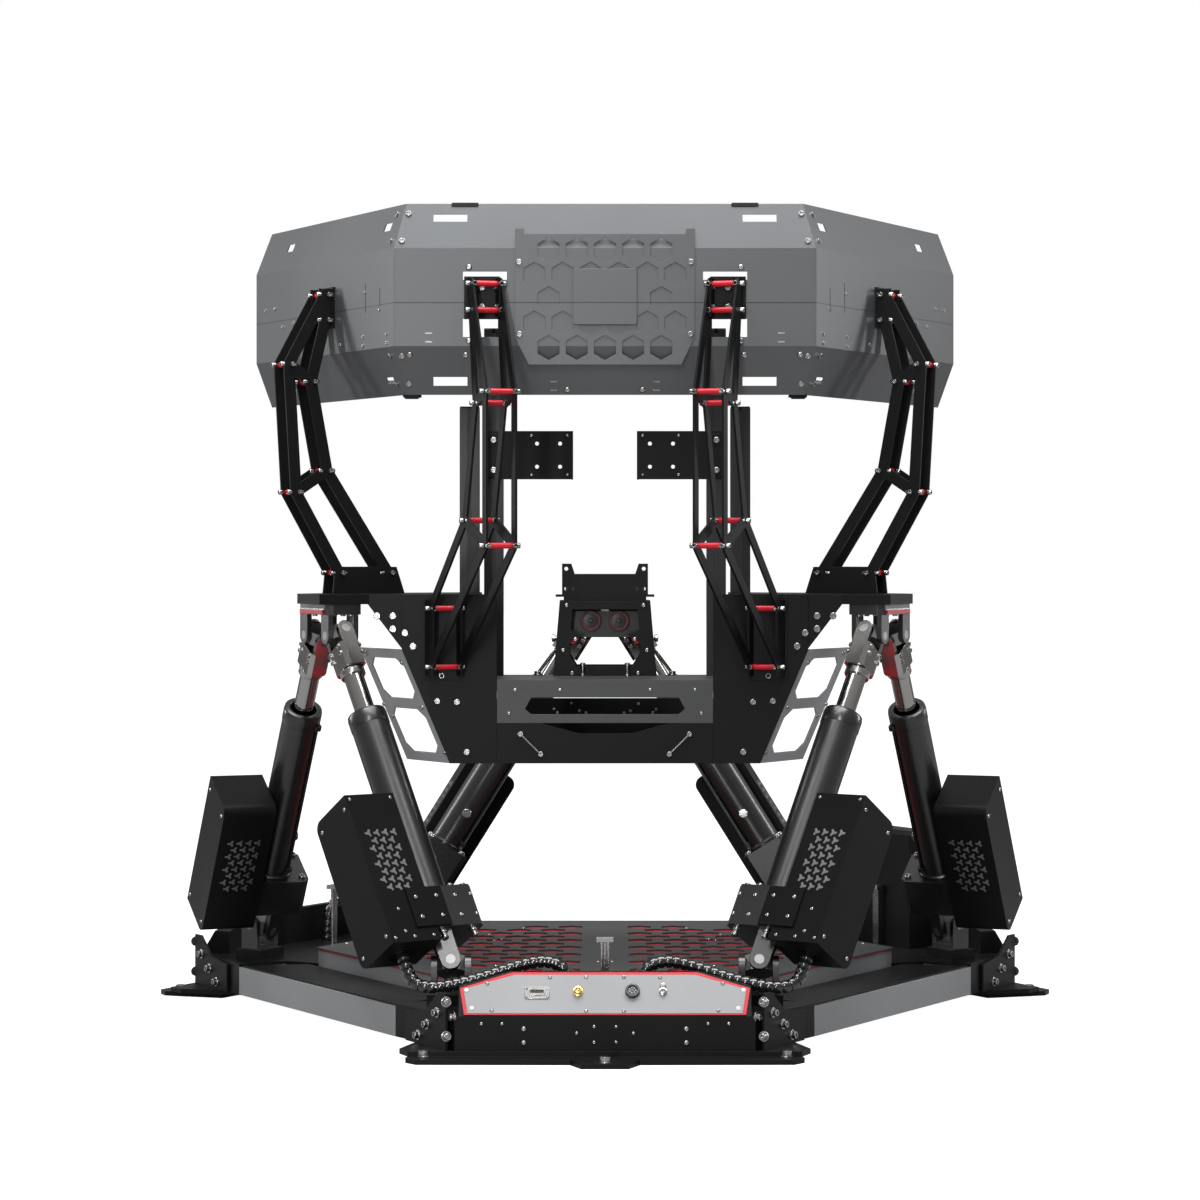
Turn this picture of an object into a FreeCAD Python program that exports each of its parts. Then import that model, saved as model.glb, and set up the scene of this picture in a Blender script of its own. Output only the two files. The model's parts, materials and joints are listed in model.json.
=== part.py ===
import FreeCAD, Part
import math
import os
from types import SimpleNamespace
from FreeCAD import Placement, Rotation, Vector

# Six-axis motion platform: a three-cornered base, six electric cylinders on
# universal joints, and a moving cockpit frame that carries a folded screen shroud.
# X runs to the right, Y away from the front corner, Z up, in millimetres.

os.makedirs("parts", exist_ok=True)
doc = FreeCAD.newDocument("motion_platform")

# Driving dimensions
SIZES = {
    # Base
    "corner_reach": 960, "side_reach": 769, "foot_thick": 11, "foot_reach": 990, "foot_half": 424,
    "foot_depth": 150, "foot_tip": 1081, "foot_tip_half": 50, "foot_hole": 13,
    "beam_low": 22, "beam_top": 88, "beam_wide": 120, "beam_wall": 5, "cover_gap": 16, "cover_thick": 4,
    "deck_gap": 51, "deck_high": 132, "deck_thick": 4, "deck_skirt": 40,
    "hex_flats": 60, "hex_pitch": 86, "corner_top": 95, "corner_trim": 13, "corner_long": 250,
    "panel_top": 182, "panel_back": 60, "panel_margin": 21, "panel_thick": 4, "panel_slant": 114,
    "trim_wide": 5, "trim_thick": 3, "pedestal_top": 120, "pedestal_wide": 104, "pedestal_deep": 68,
    "bracket_thick": 6,
    "post_inset": 177, "post_top": 244, "post_rod": 8, "post_gap": 14, "post_head": 37,
    "cabinet_wide": 250, "cabinet_deep": 78, "cabinet_top": 385,
    # Legs
    "low_inset": 119, "low_turn": 23.5, "low_high": 180, "up_reach": 733, "up_turn": 4.4, "up_high": 890,
    "tube_od": 88, "tube_bore": 78, "tube_top": 632, "block_low": 68, "block_top": 166, "block_out": 45,
    "block_in": 82, "block_front": 60, "block_back": 58, "unit_wide": 128, "unit_deep": 140,
    "unit_low": 38, "unit_top": 400, "unit_wall": 4, "unit_round": 24, "unit_hole": 60, "gland_gap": 1.5,
    "strap_thick": 5, "strap_wide": 92, "strap_start": 8, "servo_size": 84, "servo_low": 130, "servo_long": 230,
    "rod_od": 46, "rod_bore": 34, "rod_foot": 445, "clamp_low": 747, "clamp_deep": 50, "screw_od": 16,
    "screw_top": 600, "rod_cap": 20, "pin_gap": 0.05, "face_gap": 0.3, "hub_share": 0.8,
    "low_pin": 22, "low_ear_in": 30, "low_ear": 14, "low_round": 22, "low_bridge": 48,
    "up_pin": 20, "up_ear_in": 26, "up_ear": 12, "up_round": 19, "up_bridge": 48, "clamp_bridge": 32,
    # Moving frame
    "plate_low": 962, "plate_top": 985, "pan_low": 600, "pan_front": 430, "pan_back": 190, "wall_out": 289,
    "wall_thick": 6, "skin": 5, "front_inner": 246, "front_outer": 462, "front_knee": 858,
    "front_foot": 353, "profile": 45, "inner_post_top": 1601, "inner_post_y": 200,
    "outer_post_top": 1411, "outer_post_y": 350, "cross_top": 790, "cross_thick": 26, "cross_deep": 300,
    "tower_front": 200, "tower_deep": 140, "tower_foot": 121, "tower_head": 106, "tower_top": 965,
    "spine_half": 60, "spine_thick": 38,
    "head_half": 101, "head_hole": 9, "head_hole_x": 91, "head_hole_low": 993, "head_hole_high": 1040,
    "wheel_high": 1306, "wheel_tall": 113, "wheel_end": 75, "wheel_hole": 9, "wheel_hole_x": 159,
    "wheel_step": 54, "wheel_thick": 5,
    # Screen shroud and its arms
    "shroud_front": 700, "shroud_fold": 465, "shroud_side": 942, "shroud_turn": 65.9, "shroud_skin": 3,
    "shroud_low": 1430, "shroud_crease": 1536, "shroud_brow": 1752, "shroud_top": 1853, "shroud_recess": 40,
    "grille_half": 202, "grille_low": 1495, "grille_top": 1795, "grille_middle": 1640, "grille_flats": 48,
    "grille_pitch": 62,
    "truss_wide": 26, "truss_thick": 5, "truss_gap": 62, "spacer_od": 13, "head_stand": 24,
    # Conduits
    "conduit_od": 28,
}

sheet = doc.addObject("Spreadsheet::Sheet", "sizes")
for row, (name, value) in enumerate(SIZES.items(), start=1):
    sheet.set("A%d" % row, name)
    sheet.set("B%d" % row, str(value))
    sheet.setAlias("B%d" % row, name)
doc.recompute()
size = SimpleNamespace(**{name: float(sheet.get(name)) for name in SIZES})

# Reaches that follow from others: the corner carries the pivots and the post, the beams frame the deck
low_reach = size.corner_reach - size.low_inset
post_reach = size.corner_reach - size.post_inset
deck_reach = size.side_reach - size.beam_wide - size.deck_gap

nodes = []
UP = Vector(0, 0, 1)
CORNERS = (270, 150, 30)
VERTICES = (210, 330, 90)
CONDUIT_LEGS = (1, 2, 3)


# Helpers
def polar(radius, angle, height=0.0):
    turn = math.radians(angle)
    return Vector(radius * math.cos(turn), radius * math.sin(turn), height)


def unit(vector):
    return Vector(vector).normalize()


def turned(angle):
    """Turns a piece drawn at the front corner to the corner at that angle."""
    return Placement(Vector(), Rotation(UP, angle - 270))


def keep(obj, label):
    obj.Label = label
    nodes.append(obj)
    return obj


def feature(label, shape, place=None):
    obj = doc.addObject("Part::Feature", label)
    obj.Shape = shape
    if place is not None:
        obj.Placement = place
    return keep(obj, label)


def bound(kind, name, place=None, **cells):
    """A primitive whose sizes follow cells of the sheet."""
    obj = doc.addObject(kind, name)
    for prop, rule in cells.items():
        obj.setExpression(prop, rule)
    if place is not None:
        obj.Placement = place
    return obj


def taken(name, base, tool):
    obj = doc.addObject("Part::Cut", name)
    obj.Base = base
    obj.Tool = tool
    return obj


def block(x0, x1, y0, y1, z0, z1):
    return Part.makeBox(x1 - x0, y1 - y0, z1 - z0, Vector(x0, y0, z0))


def prism(points, depth):
    """Solid from a closed outline of vectors, pushed along the vector depth."""
    wire = Part.makePolygon(points + [points[0]])
    return Part.Face(wire).extrude(depth)


def hexagon(x, y, flats):
    radius = flats / math.sqrt(3)
    return [(x + radius * math.cos(math.radians(60 * k + 30)), y + radius * math.sin(math.radians(60 * k + 30)))
            for k in range(6)]


def plate_body(name, loops, depth, circles=()):
    """Body padded from a sketch of closed outlines: the first is the edge, the rest are holes."""
    body = doc.addObject("PartDesign::Body", name)
    sketch = body.newObject("Sketcher::SketchObject", name + "_outline")
    plane = next(item for item in body.Origin.OriginFeatures if item.Role == "XY_Plane")
    sketch.AttachmentSupport = (plane, [""])
    sketch.MapMode = "FlatFace"
    for loop in loops:
        for start, end in zip(loop, loop[1:] + loop[:1]):
            sketch.addGeometry(Part.LineSegment(Vector(*start, 0), Vector(*end, 0)))
    for x, y, radius in circles:
        sketch.addGeometry(Part.Circle(Vector(x, y, 0), UP, radius))
    pad = body.newObject("PartDesign::Pad", name + "_pad")
    pad.Profile = sketch
    pad.setExpression("Length", depth)
    body.Tip = pad
    return body


def round_copies(source, angles, lift=0):
    """The source's shape at each of the angles, lifted off the floor."""
    doc.recompute()
    copies = []
    for angle in angles:
        copy = source.Shape.copy()
        place = turned(angle).multiply(Placement(Vector(0, 0, lift), Rotation()))
        copy.Placement = place.multiply(copy.Placement)
        copies.append(copy)
    return copies


def group(label, shapes):
    """One node that holds several separate solids."""
    return feature(label, Part.makeCompound(shapes))


def mirrored(shape):
    return shape.mirror(Vector(), Vector(1, 0, 0))


def both(label, shapes):
    """One node with each solid and its mirror image across the middle."""
    return feature(label, Part.makeCompound(shapes + [mirrored(shape) for shape in shapes]))


# Base outline: the half width of a corner face follows from the two reaches
corner_face = (size.side_reach - size.corner_reach / 2) / math.cos(math.radians(30))
side_half = (size.corner_reach - size.side_reach / 2) / math.cos(math.radians(30))
corner_half = corner_face - size.corner_trim
panel_half = corner_face - size.panel_margin
panel_bevel = panel_half - size.panel_slant


# Foot plates under the three corners, each with a tongue for its middle bolt
def foot_plates():
    near = size.foot_reach + 30
    back = size.foot_reach - size.foot_depth
    half = size.foot_half
    tip = size.foot_tip_half
    outline = [(-half + 30, -back), (-half, -size.foot_reach), (-half + 24, -near), (-tip - 24, -near - 4),
               (-tip, -size.foot_tip), (tip, -size.foot_tip), (tip + 24, -near - 4), (half - 24, -near),
               (half, -size.foot_reach), (half - 30, -back)]
    bolt = size.foot_hole / 2
    holes = [(-half + 38, -size.foot_reach + 20, bolt), (half - 38, -size.foot_reach + 20, bolt),
             (0, -size.foot_tip + 21, bolt)]
    body = plate_body("foot_plate", [outline], "sizes.foot_thick", holes)
    back_out = [(-half - 16, -near + 90), (-half + 4, -near + 46), (half - 4, -near + 46), (half + 16, -near + 90),
                (half - 40, -back + 100), (-half + 40, -back + 100)]
    riser = plate_body("riser_plate", [back_out], "sizes.foot_thick")
    group("foot_plates", round_copies(body, CORNERS) + round_copies(riser, CORNERS, size.foot_thick))


# Long beams between the corners, hollow box section, with flat covers on top
def beams():
    half = side_half - size.corner_long
    out = size.side_reach
    outer = bound("Part::Box", "beam_outer", Placement(Vector(-half, -out, size.beam_low), Rotation()),
                  Width="sizes.beam_wide", Height="sizes.beam_top - sizes.beam_low")
    outer.Length = 2 * half
    wall = size.beam_wall
    inner = bound("Part::Box", "beam_inner", Placement(Vector(-half - 1, -out + wall, size.beam_low + wall), Rotation()),
                  Width="sizes.beam_wide - 2 * sizes.beam_wall",
                  Height="sizes.beam_top - sizes.beam_low - 2 * sizes.beam_wall")
    inner.Length = 2 * half + 2
    tubes = round_copies(taken("beam_tube", outer, inner), VERTICES)
    cover_half = half - 2
    back = -deck_reach - size.cover_gap
    lip = [(-cover_half, -out + 6), (cover_half, -out + 6), (cover_half - 60, back), (-cover_half + 60, back)]
    cover = plate_body("beam_cover", [lip], "sizes.cover_thick")
    group("beam_covers", round_copies(cover, VERTICES, size.beam_top))
    return tubes


# Raised deck inside the beams: hexagon holes over a red sheet
def deck(tubes):
    reach = deck_reach
    corner = 2 * reach / math.sqrt(3)
    outline = [(corner * math.cos(math.radians(60 * k)), corner * math.sin(math.radians(60 * k))) for k in range(6)]
    loops = [outline]
    rows = int(reach // size.hex_pitch)
    for row in range(-rows, rows + 1):
        y = row * size.hex_pitch * math.sqrt(3) / 2
        for column in range(-rows, rows + 1):
            x = (column + 0.5 * (row % 2)) * size.hex_pitch
            clear = reach - size.hex_flats - 28
            inside = all(abs(x * math.cos(math.radians(a)) + y * math.sin(math.radians(a))) < clear
                         for a in (30, 90, 150))
            if inside and size.hex_flats < abs(x) + 14 and math.hypot(x, y) < reach * 0.86:
                loops.append(hexagon(x, y, size.hex_flats))
    body = plate_body("deck_sheet", loops, "sizes.deck_thick")
    body.Placement = Placement(Vector(0, 0, size.deck_high - size.deck_thick), Rotation())
    keep(body, "deck_plate")
    shrink = (reach - size.deck_thick) / reach
    low = [(x * shrink, y * shrink) for x, y in outline]
    under = plate_body("deck_underlay_sheet", [low], "sizes.deck_thick")
    under.Placement = Placement(Vector(0, 0, size.deck_high - 2 * size.deck_thick), Rotation())
    keep(under, "deck_underlay")
    skirt_top = size.deck_high - 2 * size.deck_thick
    narrow = (reach - size.deck_skirt) / reach
    rails = []
    for (x0, y0), (x1, y1) in zip(outline, outline[1:] + outline[:1]):
        rail = [Vector(x * k, y * k, size.beam_low)
                for x, y, k in ((x0, y0, shrink), (x1, y1, shrink), (x1, y1, narrow), (x0, y0, narrow))]
        rails.append(prism(rail, Vector(0, 0, skirt_top - size.beam_low)))
    group("base_frame", tubes + rails)


# Corner housings: a wedge that carries the connector panel, side plates and two pedestals
def corners():
    reach = size.corner_reach
    half = corner_half
    wing = Vector(-0.5, math.cos(math.radians(30)), 0) * size.corner_long
    inward = Vector(math.cos(math.radians(30)), 0.5, 0) * (size.beam_wide + 5)
    start = Vector(-corner_face, -reach, size.beam_low)
    inner = start + wing + inward
    rear = deck_reach - size.deck_thick
    tall_shell = UP * (size.corner_top - size.beam_low)
    mid_back = Vector(-half, -rear, size.beam_low)
    wing_box = prism([Vector(-half, -reach, size.beam_low), start + wing, inner,
                      Vector(inner.x, -rear, size.beam_low), mid_back], tall_shell)
    shell = block(-half, half, -reach, -rear, size.beam_low, size.corner_top)
    rise = size.panel_top - size.corner_top
    hood_back = reach - size.panel_back - 22
    profile = [Vector(-panel_half, -reach, size.corner_top),
               Vector(-panel_half, -hood_back, size.corner_top),
               Vector(-panel_half, -hood_back, size.panel_top),
               Vector(-panel_half, -hood_back - 22, size.panel_top)]
    hood = prism(profile, Vector(2 * panel_half, 0, 0))
    for side in (-1, 1):
        edge = [Vector(side * panel_bevel, -reach - 5, size.panel_top + 1),
                Vector(side * (panel_half + 1), -reach - 5, size.panel_top + 1),
                Vector(side * (panel_half + 1), -reach - 5, size.panel_top - rise * 0.36)]
        hood = hood.cut(prism(edge, Vector(0, 140, 0)))
    turn = math.radians(270 + size.low_turn)
    pivot = Vector(low_reach * math.cos(turn), low_reach * math.sin(turn), 0)
    pedestal = block(-pivot.x - size.pedestal_wide / 2, -pivot.x + size.pedestal_wide / 2,
                     pivot.y - size.pedestal_deep / 2, pivot.y + size.pedestal_deep / 2,
                     size.corner_top, size.pedestal_top)
    housing = doc.addObject("Part::Feature", "corner_housing")
    housing.Shape = Part.makeCompound([shell, hood, wing_box, mirrored(wing_box), pedestal, mirrored(pedestal)])
    housings = round_copies(housing, CORNERS)
    lean = math.atan2(size.panel_back, rise)
    slope = math.hypot(size.panel_back, rise)

    # The connector panel lies on the wedge's sloping face
    outline = [(-panel_half + 12, 2), (panel_half - 12, 2), (panel_half - 2, slope * 0.62),
               (panel_bevel, slope - 2), (-panel_bevel, slope - 2), (-panel_half + 2, slope * 0.62)]
    trim = size.trim_wide
    inner = [(x * (1 - 1.6 * trim / panel_half), trim + (y - 2) * (1 - 2 * trim / slope)) for x, y in outline]
    tilt = Placement(Vector(0, -reach, size.corner_top), Rotation(Vector(1, 0, 0), 90 - math.degrees(lean)))
    face = plate_body("connector_panel_sheet", [inner], "sizes.panel_thick")
    face.Placement = tilt
    keep(face, "connector_panel")
    border = plate_body("panel_trim_sheet", [outline, inner], "sizes.trim_thick")
    border.Placement = tilt
    keep(border, "panel_trim")

    # Slanted plates that tie each corner to its two beams
    angle = math.radians(30)
    along = Vector(-math.sin(angle), math.cos(angle), 0)
    plates = []
    start = Vector(-corner_face, -reach, size.beam_low)
    outer = Vector(-math.cos(angle), -math.sin(angle), 0)
    tall = size.corner_top - size.beam_low
    shape = [start + along * 2, start + along * 2 + UP * (tall + 48), start + along * 36 + UP * (tall + 48),
             start + along * 96 + UP * (tall + 4), start + along * 190 + UP * (tall - 8), start + along * 190]
    plates.append(prism(shape, outer * size.bracket_thick))
    plates.append(mirrored(plates[0]))
    tie = doc.addObject("Part::Feature", "corner_tie")
    tie.Shape = Part.makeCompound(plates)
    group("corner_housings", housings + round_copies(tie, CORNERS))


# Stop posts: three parallel rods under a cross head
def stop_posts():
    foot = size.corner_top
    parts = []
    for index in (-1, 0, 1):
        parts.append(Part.makeCylinder(size.post_rod / 2, size.post_top - foot - 8,
                                       Vector(index * size.post_gap / 2, -post_reach, foot)))
    head = block(-size.post_head / 2, size.post_head / 2, -post_reach - 10, -post_reach + 10,
                 size.post_top - 10, size.post_top)
    post = doc.addObject("Part::Feature", "stop_post")
    post.Shape = parts[0].fuse(parts[1:] + [head])
    group("stop_posts", round_copies(post, CORNERS))


# Control cabinet on the rear right corner of the base
def cabinet():
    half = size.cabinet_wide / 2
    far = post_reach + 14
    body = block(-half, half, -far - size.cabinet_deep, -far, size.corner_top, size.cabinet_top)
    edges = [edge for edge in body.Edges if abs(edge.CenterOfMass.z - size.cabinet_top) < 0.1]
    body = body.makeChamfer(10, edges)
    feature("control_cabinet", body, turned(CORNERS[2]))


# Leg layout: six legs in mirrored pairs, one pair at each base corner
def leg_layout():
    legs = []
    for corner in CORNERS:
        for hand in (-1, 1):
            low = polar(low_reach, corner + hand * size.low_turn, size.low_high)
            high = polar(size.up_reach, corner + hand * (60 - size.up_turn), size.up_high)
            axis = unit(high - low)
            face = unit(UP - axis * UP.dot(axis))
            side = unit(axis.cross(face))
            radial = polar(1, corner + hand * size.low_turn)
            if side.dot(radial) < 0:
                side = side * -1
            low_pin = polar(1, corner + 90)
            low_fork = unit(axis.cross(low_pin))
            high_pin = polar(1, corner + hand * 60)
            high_fork = unit(axis.cross(high_pin))
            legs.append(SimpleNamespace(low=low, high=high, axis=axis, face=face, side=side, hand=hand,
                                        low_pin=low_pin, low_fork=low_fork, high_pin=high_pin,
                                        high_fork=high_fork, long=(high - low).Length))
    return legs


def cross(label, centre, first, second, pin, ear_in, ear, gap):
    """Universal joint cross: an eight-sided hub with a pin pressed into each of its four faces."""
    third = first.cross(second)
    place = Placement(centre, Rotation(first, second, third, "XYZ"))
    hub = ear_in - gap
    half = pin * size.hub_share
    cut = hub - half
    outline = []
    for turn in range(4):
        spin = Rotation(Vector(0, 0, 1), 90 * turn)
        outline += [spin.multVec(Vector(hub, -half, -half)), spin.multVec(Vector(hub, hub - cut, -half))]
    parts = [prism(outline, Vector(0, 0, 2 * half))]
    for turn in range(4):
        way = Rotation(Vector(0, 0, 1), 90 * turn).multVec(Vector(1, 0, 0))
        parts.append(Part.makeCylinder(pin / 2, ear_in + ear - hub, way * hub, way))
    return feature(label, Part.makeCompound(parts), place)


def ears(pin_axis, away, pin, ear_in, ear, round_r, reach, gap):
    """Two rounded lugs on one pin axis, drawn from the pivot to a seat at reach along away."""
    out = []
    across = away.cross(pin_axis)
    for sign in (-1, 1):
        start = pin_axis * (sign * ear_in if sign > 0 else -(ear_in + ear))
        disc = Part.makeCylinder(round_r, ear, start, pin_axis)
        corners_ = [start + across * round_r, start - across * round_r,
                    start - across * round_r + away * reach, start + across * round_r + away * reach]
        lug = disc.fuse(prism(corners_, pin_axis * ear))
        hole = Part.makeCylinder(pin / 2 + gap, ear + 2, start - pin_axis, pin_axis)
        out.append(lug.cut(hole))
    return out


# One leg: cross, cylinder with gear housing, motor unit, rod with clamp, upper cross
def leg(number, data):
    hand = 1 if data.hand < 0 else -1
    place = Placement(data.low, Rotation(data.side, data.axis.cross(data.side), data.axis, "ZXY"))
    inverse = place.inverse().Rotation

    def span(front, back):
        return (-back, front) if hand > 0 else (-front, back)

    name = "%d" % number
    cross("lower_cross_" + name, data.low, data.low_pin, data.low_fork, size.low_pin, size.low_ear_in,
          size.low_ear, size.face_gap)

    # Cylinder tube on its gear housing
    y0, y1 = span(size.block_front, size.block_back)
    housing = block(-size.block_in, size.block_out, y0, y1, size.block_low, size.block_top)
    edges = [edge for edge in housing.Edges if abs(edge.CenterOfMass.x + size.block_in) < 0.1
             and abs(edge.Curve.Direction.z) > 0.5]
    housing = housing.makeChamfer(12, edges)
    seat = Vector(0, 0, size.block_top)
    tube_long = size.tube_top - size.block_top
    tube = Part.makeCylinder(size.tube_od / 2, tube_long, seat)
    fork = inverse.multVec(data.low_fork)
    lugs = ears(fork, UP, size.low_pin, size.low_ear_in, size.low_ear, size.low_round, size.block_low,
                size.pin_gap)
    bore = Part.makeCylinder(size.tube_bore / 2, tube_long, seat)
    screw = Part.makeCylinder(size.screw_od / 2, size.screw_top - size.block_top, seat)
    feature("cylinder_" + name, Part.makeCompound([housing, tube.cut(bore), screw] + lugs), place)

    # Motor unit beside the tube: rounded sheet cover, servo inside, strap plate across the front
    y0, y1 = span(size.block_front, size.unit_deep - size.block_front)
    x0 = size.block_out
    outer = block(x0, x0 + size.unit_wide, y0, y1, size.unit_low, size.unit_top)
    far = y0 if hand > 0 else y1
    edges = [edge for edge in outer.Edges if abs(edge.CenterOfMass.y - far) < 0.1
             and abs(edge.Curve.Direction.x) > 0.5]
    outer = outer.makeFillet(size.unit_round, edges)
    wall = size.unit_wall
    inner = block(x0 + wall, x0 + size.unit_wide - wall, y0 + wall, y1 - wall, size.unit_low + wall,
                  size.unit_top - wall)
    edges = [edge for edge in inner.Edges if abs(abs(edge.CenterOfMass.y - far) - wall) < 0.1
             and abs(edge.Curve.Direction.x) > 0.5]
    inner = inner.makeFillet(size.unit_round - wall, edges)
    middle = Vector(x0 + size.unit_wide / 2, (y0 + y1) / 2, size.unit_low - 1)
    mouth = Part.makeCylinder(size.unit_hole / 2, wall + 2, middle)
    half = size.servo_size / 2
    servo = block(middle.x - half, middle.x + half, middle.y - half, middle.y + half, size.servo_low,
                  size.servo_low + size.servo_long)
    shelf = block(x0 + wall, middle.x - half, middle.y - half, middle.y + half, size.servo_low,
                  size.servo_low + 12)
    face = y1 if hand > 0 else y0 - size.strap_thick
    strap = block(size.strap_start, size.strap_start + size.strap_wide, face, face + size.strap_thick,
                  size.block_low + 2, size.block_top - 2)
    seat = Vector(middle.x, middle.y, size.unit_low + wall)
    gland = Part.makeCylinder(size.unit_hole / 2 + 6, wall, seat)
    if number in CONDUIT_LEGS:
        gland = gland.cut(Part.makeCylinder(size.conduit_od / 2 + size.gland_gap, wall, seat))
    parts = [outer.cut(inner).cut(mouth), gland, servo.fuse(shelf), strap]
    feature("motor_unit_" + name, Part.makeCompound(parts), place)

    # Hollow rod with its clamp block and fork
    fork = inverse.multVec(data.high_fork)
    top = data.long - size.clamp_bridge
    clamp_half = size.up_ear_in + size.up_ear
    across = UP.cross(fork)
    deep = size.clamp_deep / 2
    bevel = 9
    outline = [fork * (clamp_half - bevel) + across * deep, fork * clamp_half + across * (deep - bevel),
               fork * clamp_half - across * (deep - bevel), fork * (clamp_half - bevel) - across * deep,
               fork * -(clamp_half - bevel) - across * deep, fork * -clamp_half - across * (deep - bevel),
               fork * -clamp_half + across * (deep - bevel), fork * -(clamp_half - bevel) + across * deep]
    clamp = prism([point + UP * size.clamp_low for point in outline], UP * (top - size.clamp_low))
    foot = Vector(0, 0, size.rod_foot)
    rod_long = size.clamp_low - size.rod_foot
    rod = Part.makeCylinder(size.rod_od / 2, rod_long, foot)
    bore = Part.makeCylinder(size.rod_bore / 2, rod_long - size.rod_cap, foot)
    lugs = ears(fork, UP * -1, size.up_pin, size.up_ear_in, size.up_ear, size.up_round, size.clamp_bridge,
                size.pin_gap)
    for lug in lugs:
        lug.translate(UP * data.long)
    feature("rod_" + name, Part.makeCompound([clamp, rod.cut(bore)] + lugs), place)

    cross("upper_cross_" + name, data.high, data.high_pin, data.high_fork, size.up_pin, size.up_ear_in,
          size.up_ear, size.face_gap)


# Yokes bolted on the base pedestals, and the cast yokes under the moving frame
def yokes(legs):
    lower = []
    upper = []
    for data in legs:
        lugs = ears(data.low_pin, UP * -1, size.low_pin, size.low_ear_in, size.low_ear, size.low_round,
                    size.low_bridge, size.pin_gap)
        bridge_half = size.low_ear_in + size.low_ear
        back = UP.cross(data.low_pin)
        deep = size.low_round
        base = [data.low_pin * bridge_half + back * deep, data.low_pin * bridge_half - back * deep,
                data.low_pin * -bridge_half - back * deep, data.low_pin * -bridge_half + back * deep]
        seat = size.pedestal_top - size.low_high
        bridge = prism([point + UP * seat for point in base], UP * (-size.low_bridge - seat))
        for part in [bridge] + lugs:
            part.translate(data.low)
            lower.append(part)
        lugs = ears(data.high_pin, UP, size.up_pin, size.up_ear_in, size.up_ear, size.up_round,
                    size.up_bridge, size.pin_gap)
        for lug in lugs:
            lug.translate(data.high)
        upper.append(lugs)
    group("lower_yokes", lower)
    castings = []
    for index, angle in enumerate(VERTICES):
        mates = [pair for data, pair in zip(legs, upper)
                 if unit(data.high_pin).dot(polar(1, angle)) > 0.99]
        radial = polar(1, angle)
        along = UP.cross(radial)
        near = size.up_ear_in + size.up_ear + 4
        gap = size.up_reach * math.sin(math.radians(size.up_turn)) + size.up_round + 4
        seat = size.up_high + size.up_bridge
        centre = radial * (size.up_reach * math.cos(math.radians(size.up_turn))) + UP * seat
        outline = [centre + radial * near + along * (gap - 14), centre + radial * near - along * (gap - 14),
                   centre + radial * (near - 14) - along * gap, centre - radial * near - along * gap,
                   centre - radial * near + along * gap, centre + radial * (near - 14) + along * gap]
        casting = prism(outline, UP * (size.plate_low - seat))
        castings += [casting] + [lug for pair in mates for lug in pair]
    group("upper_yokes", castings)


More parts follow.
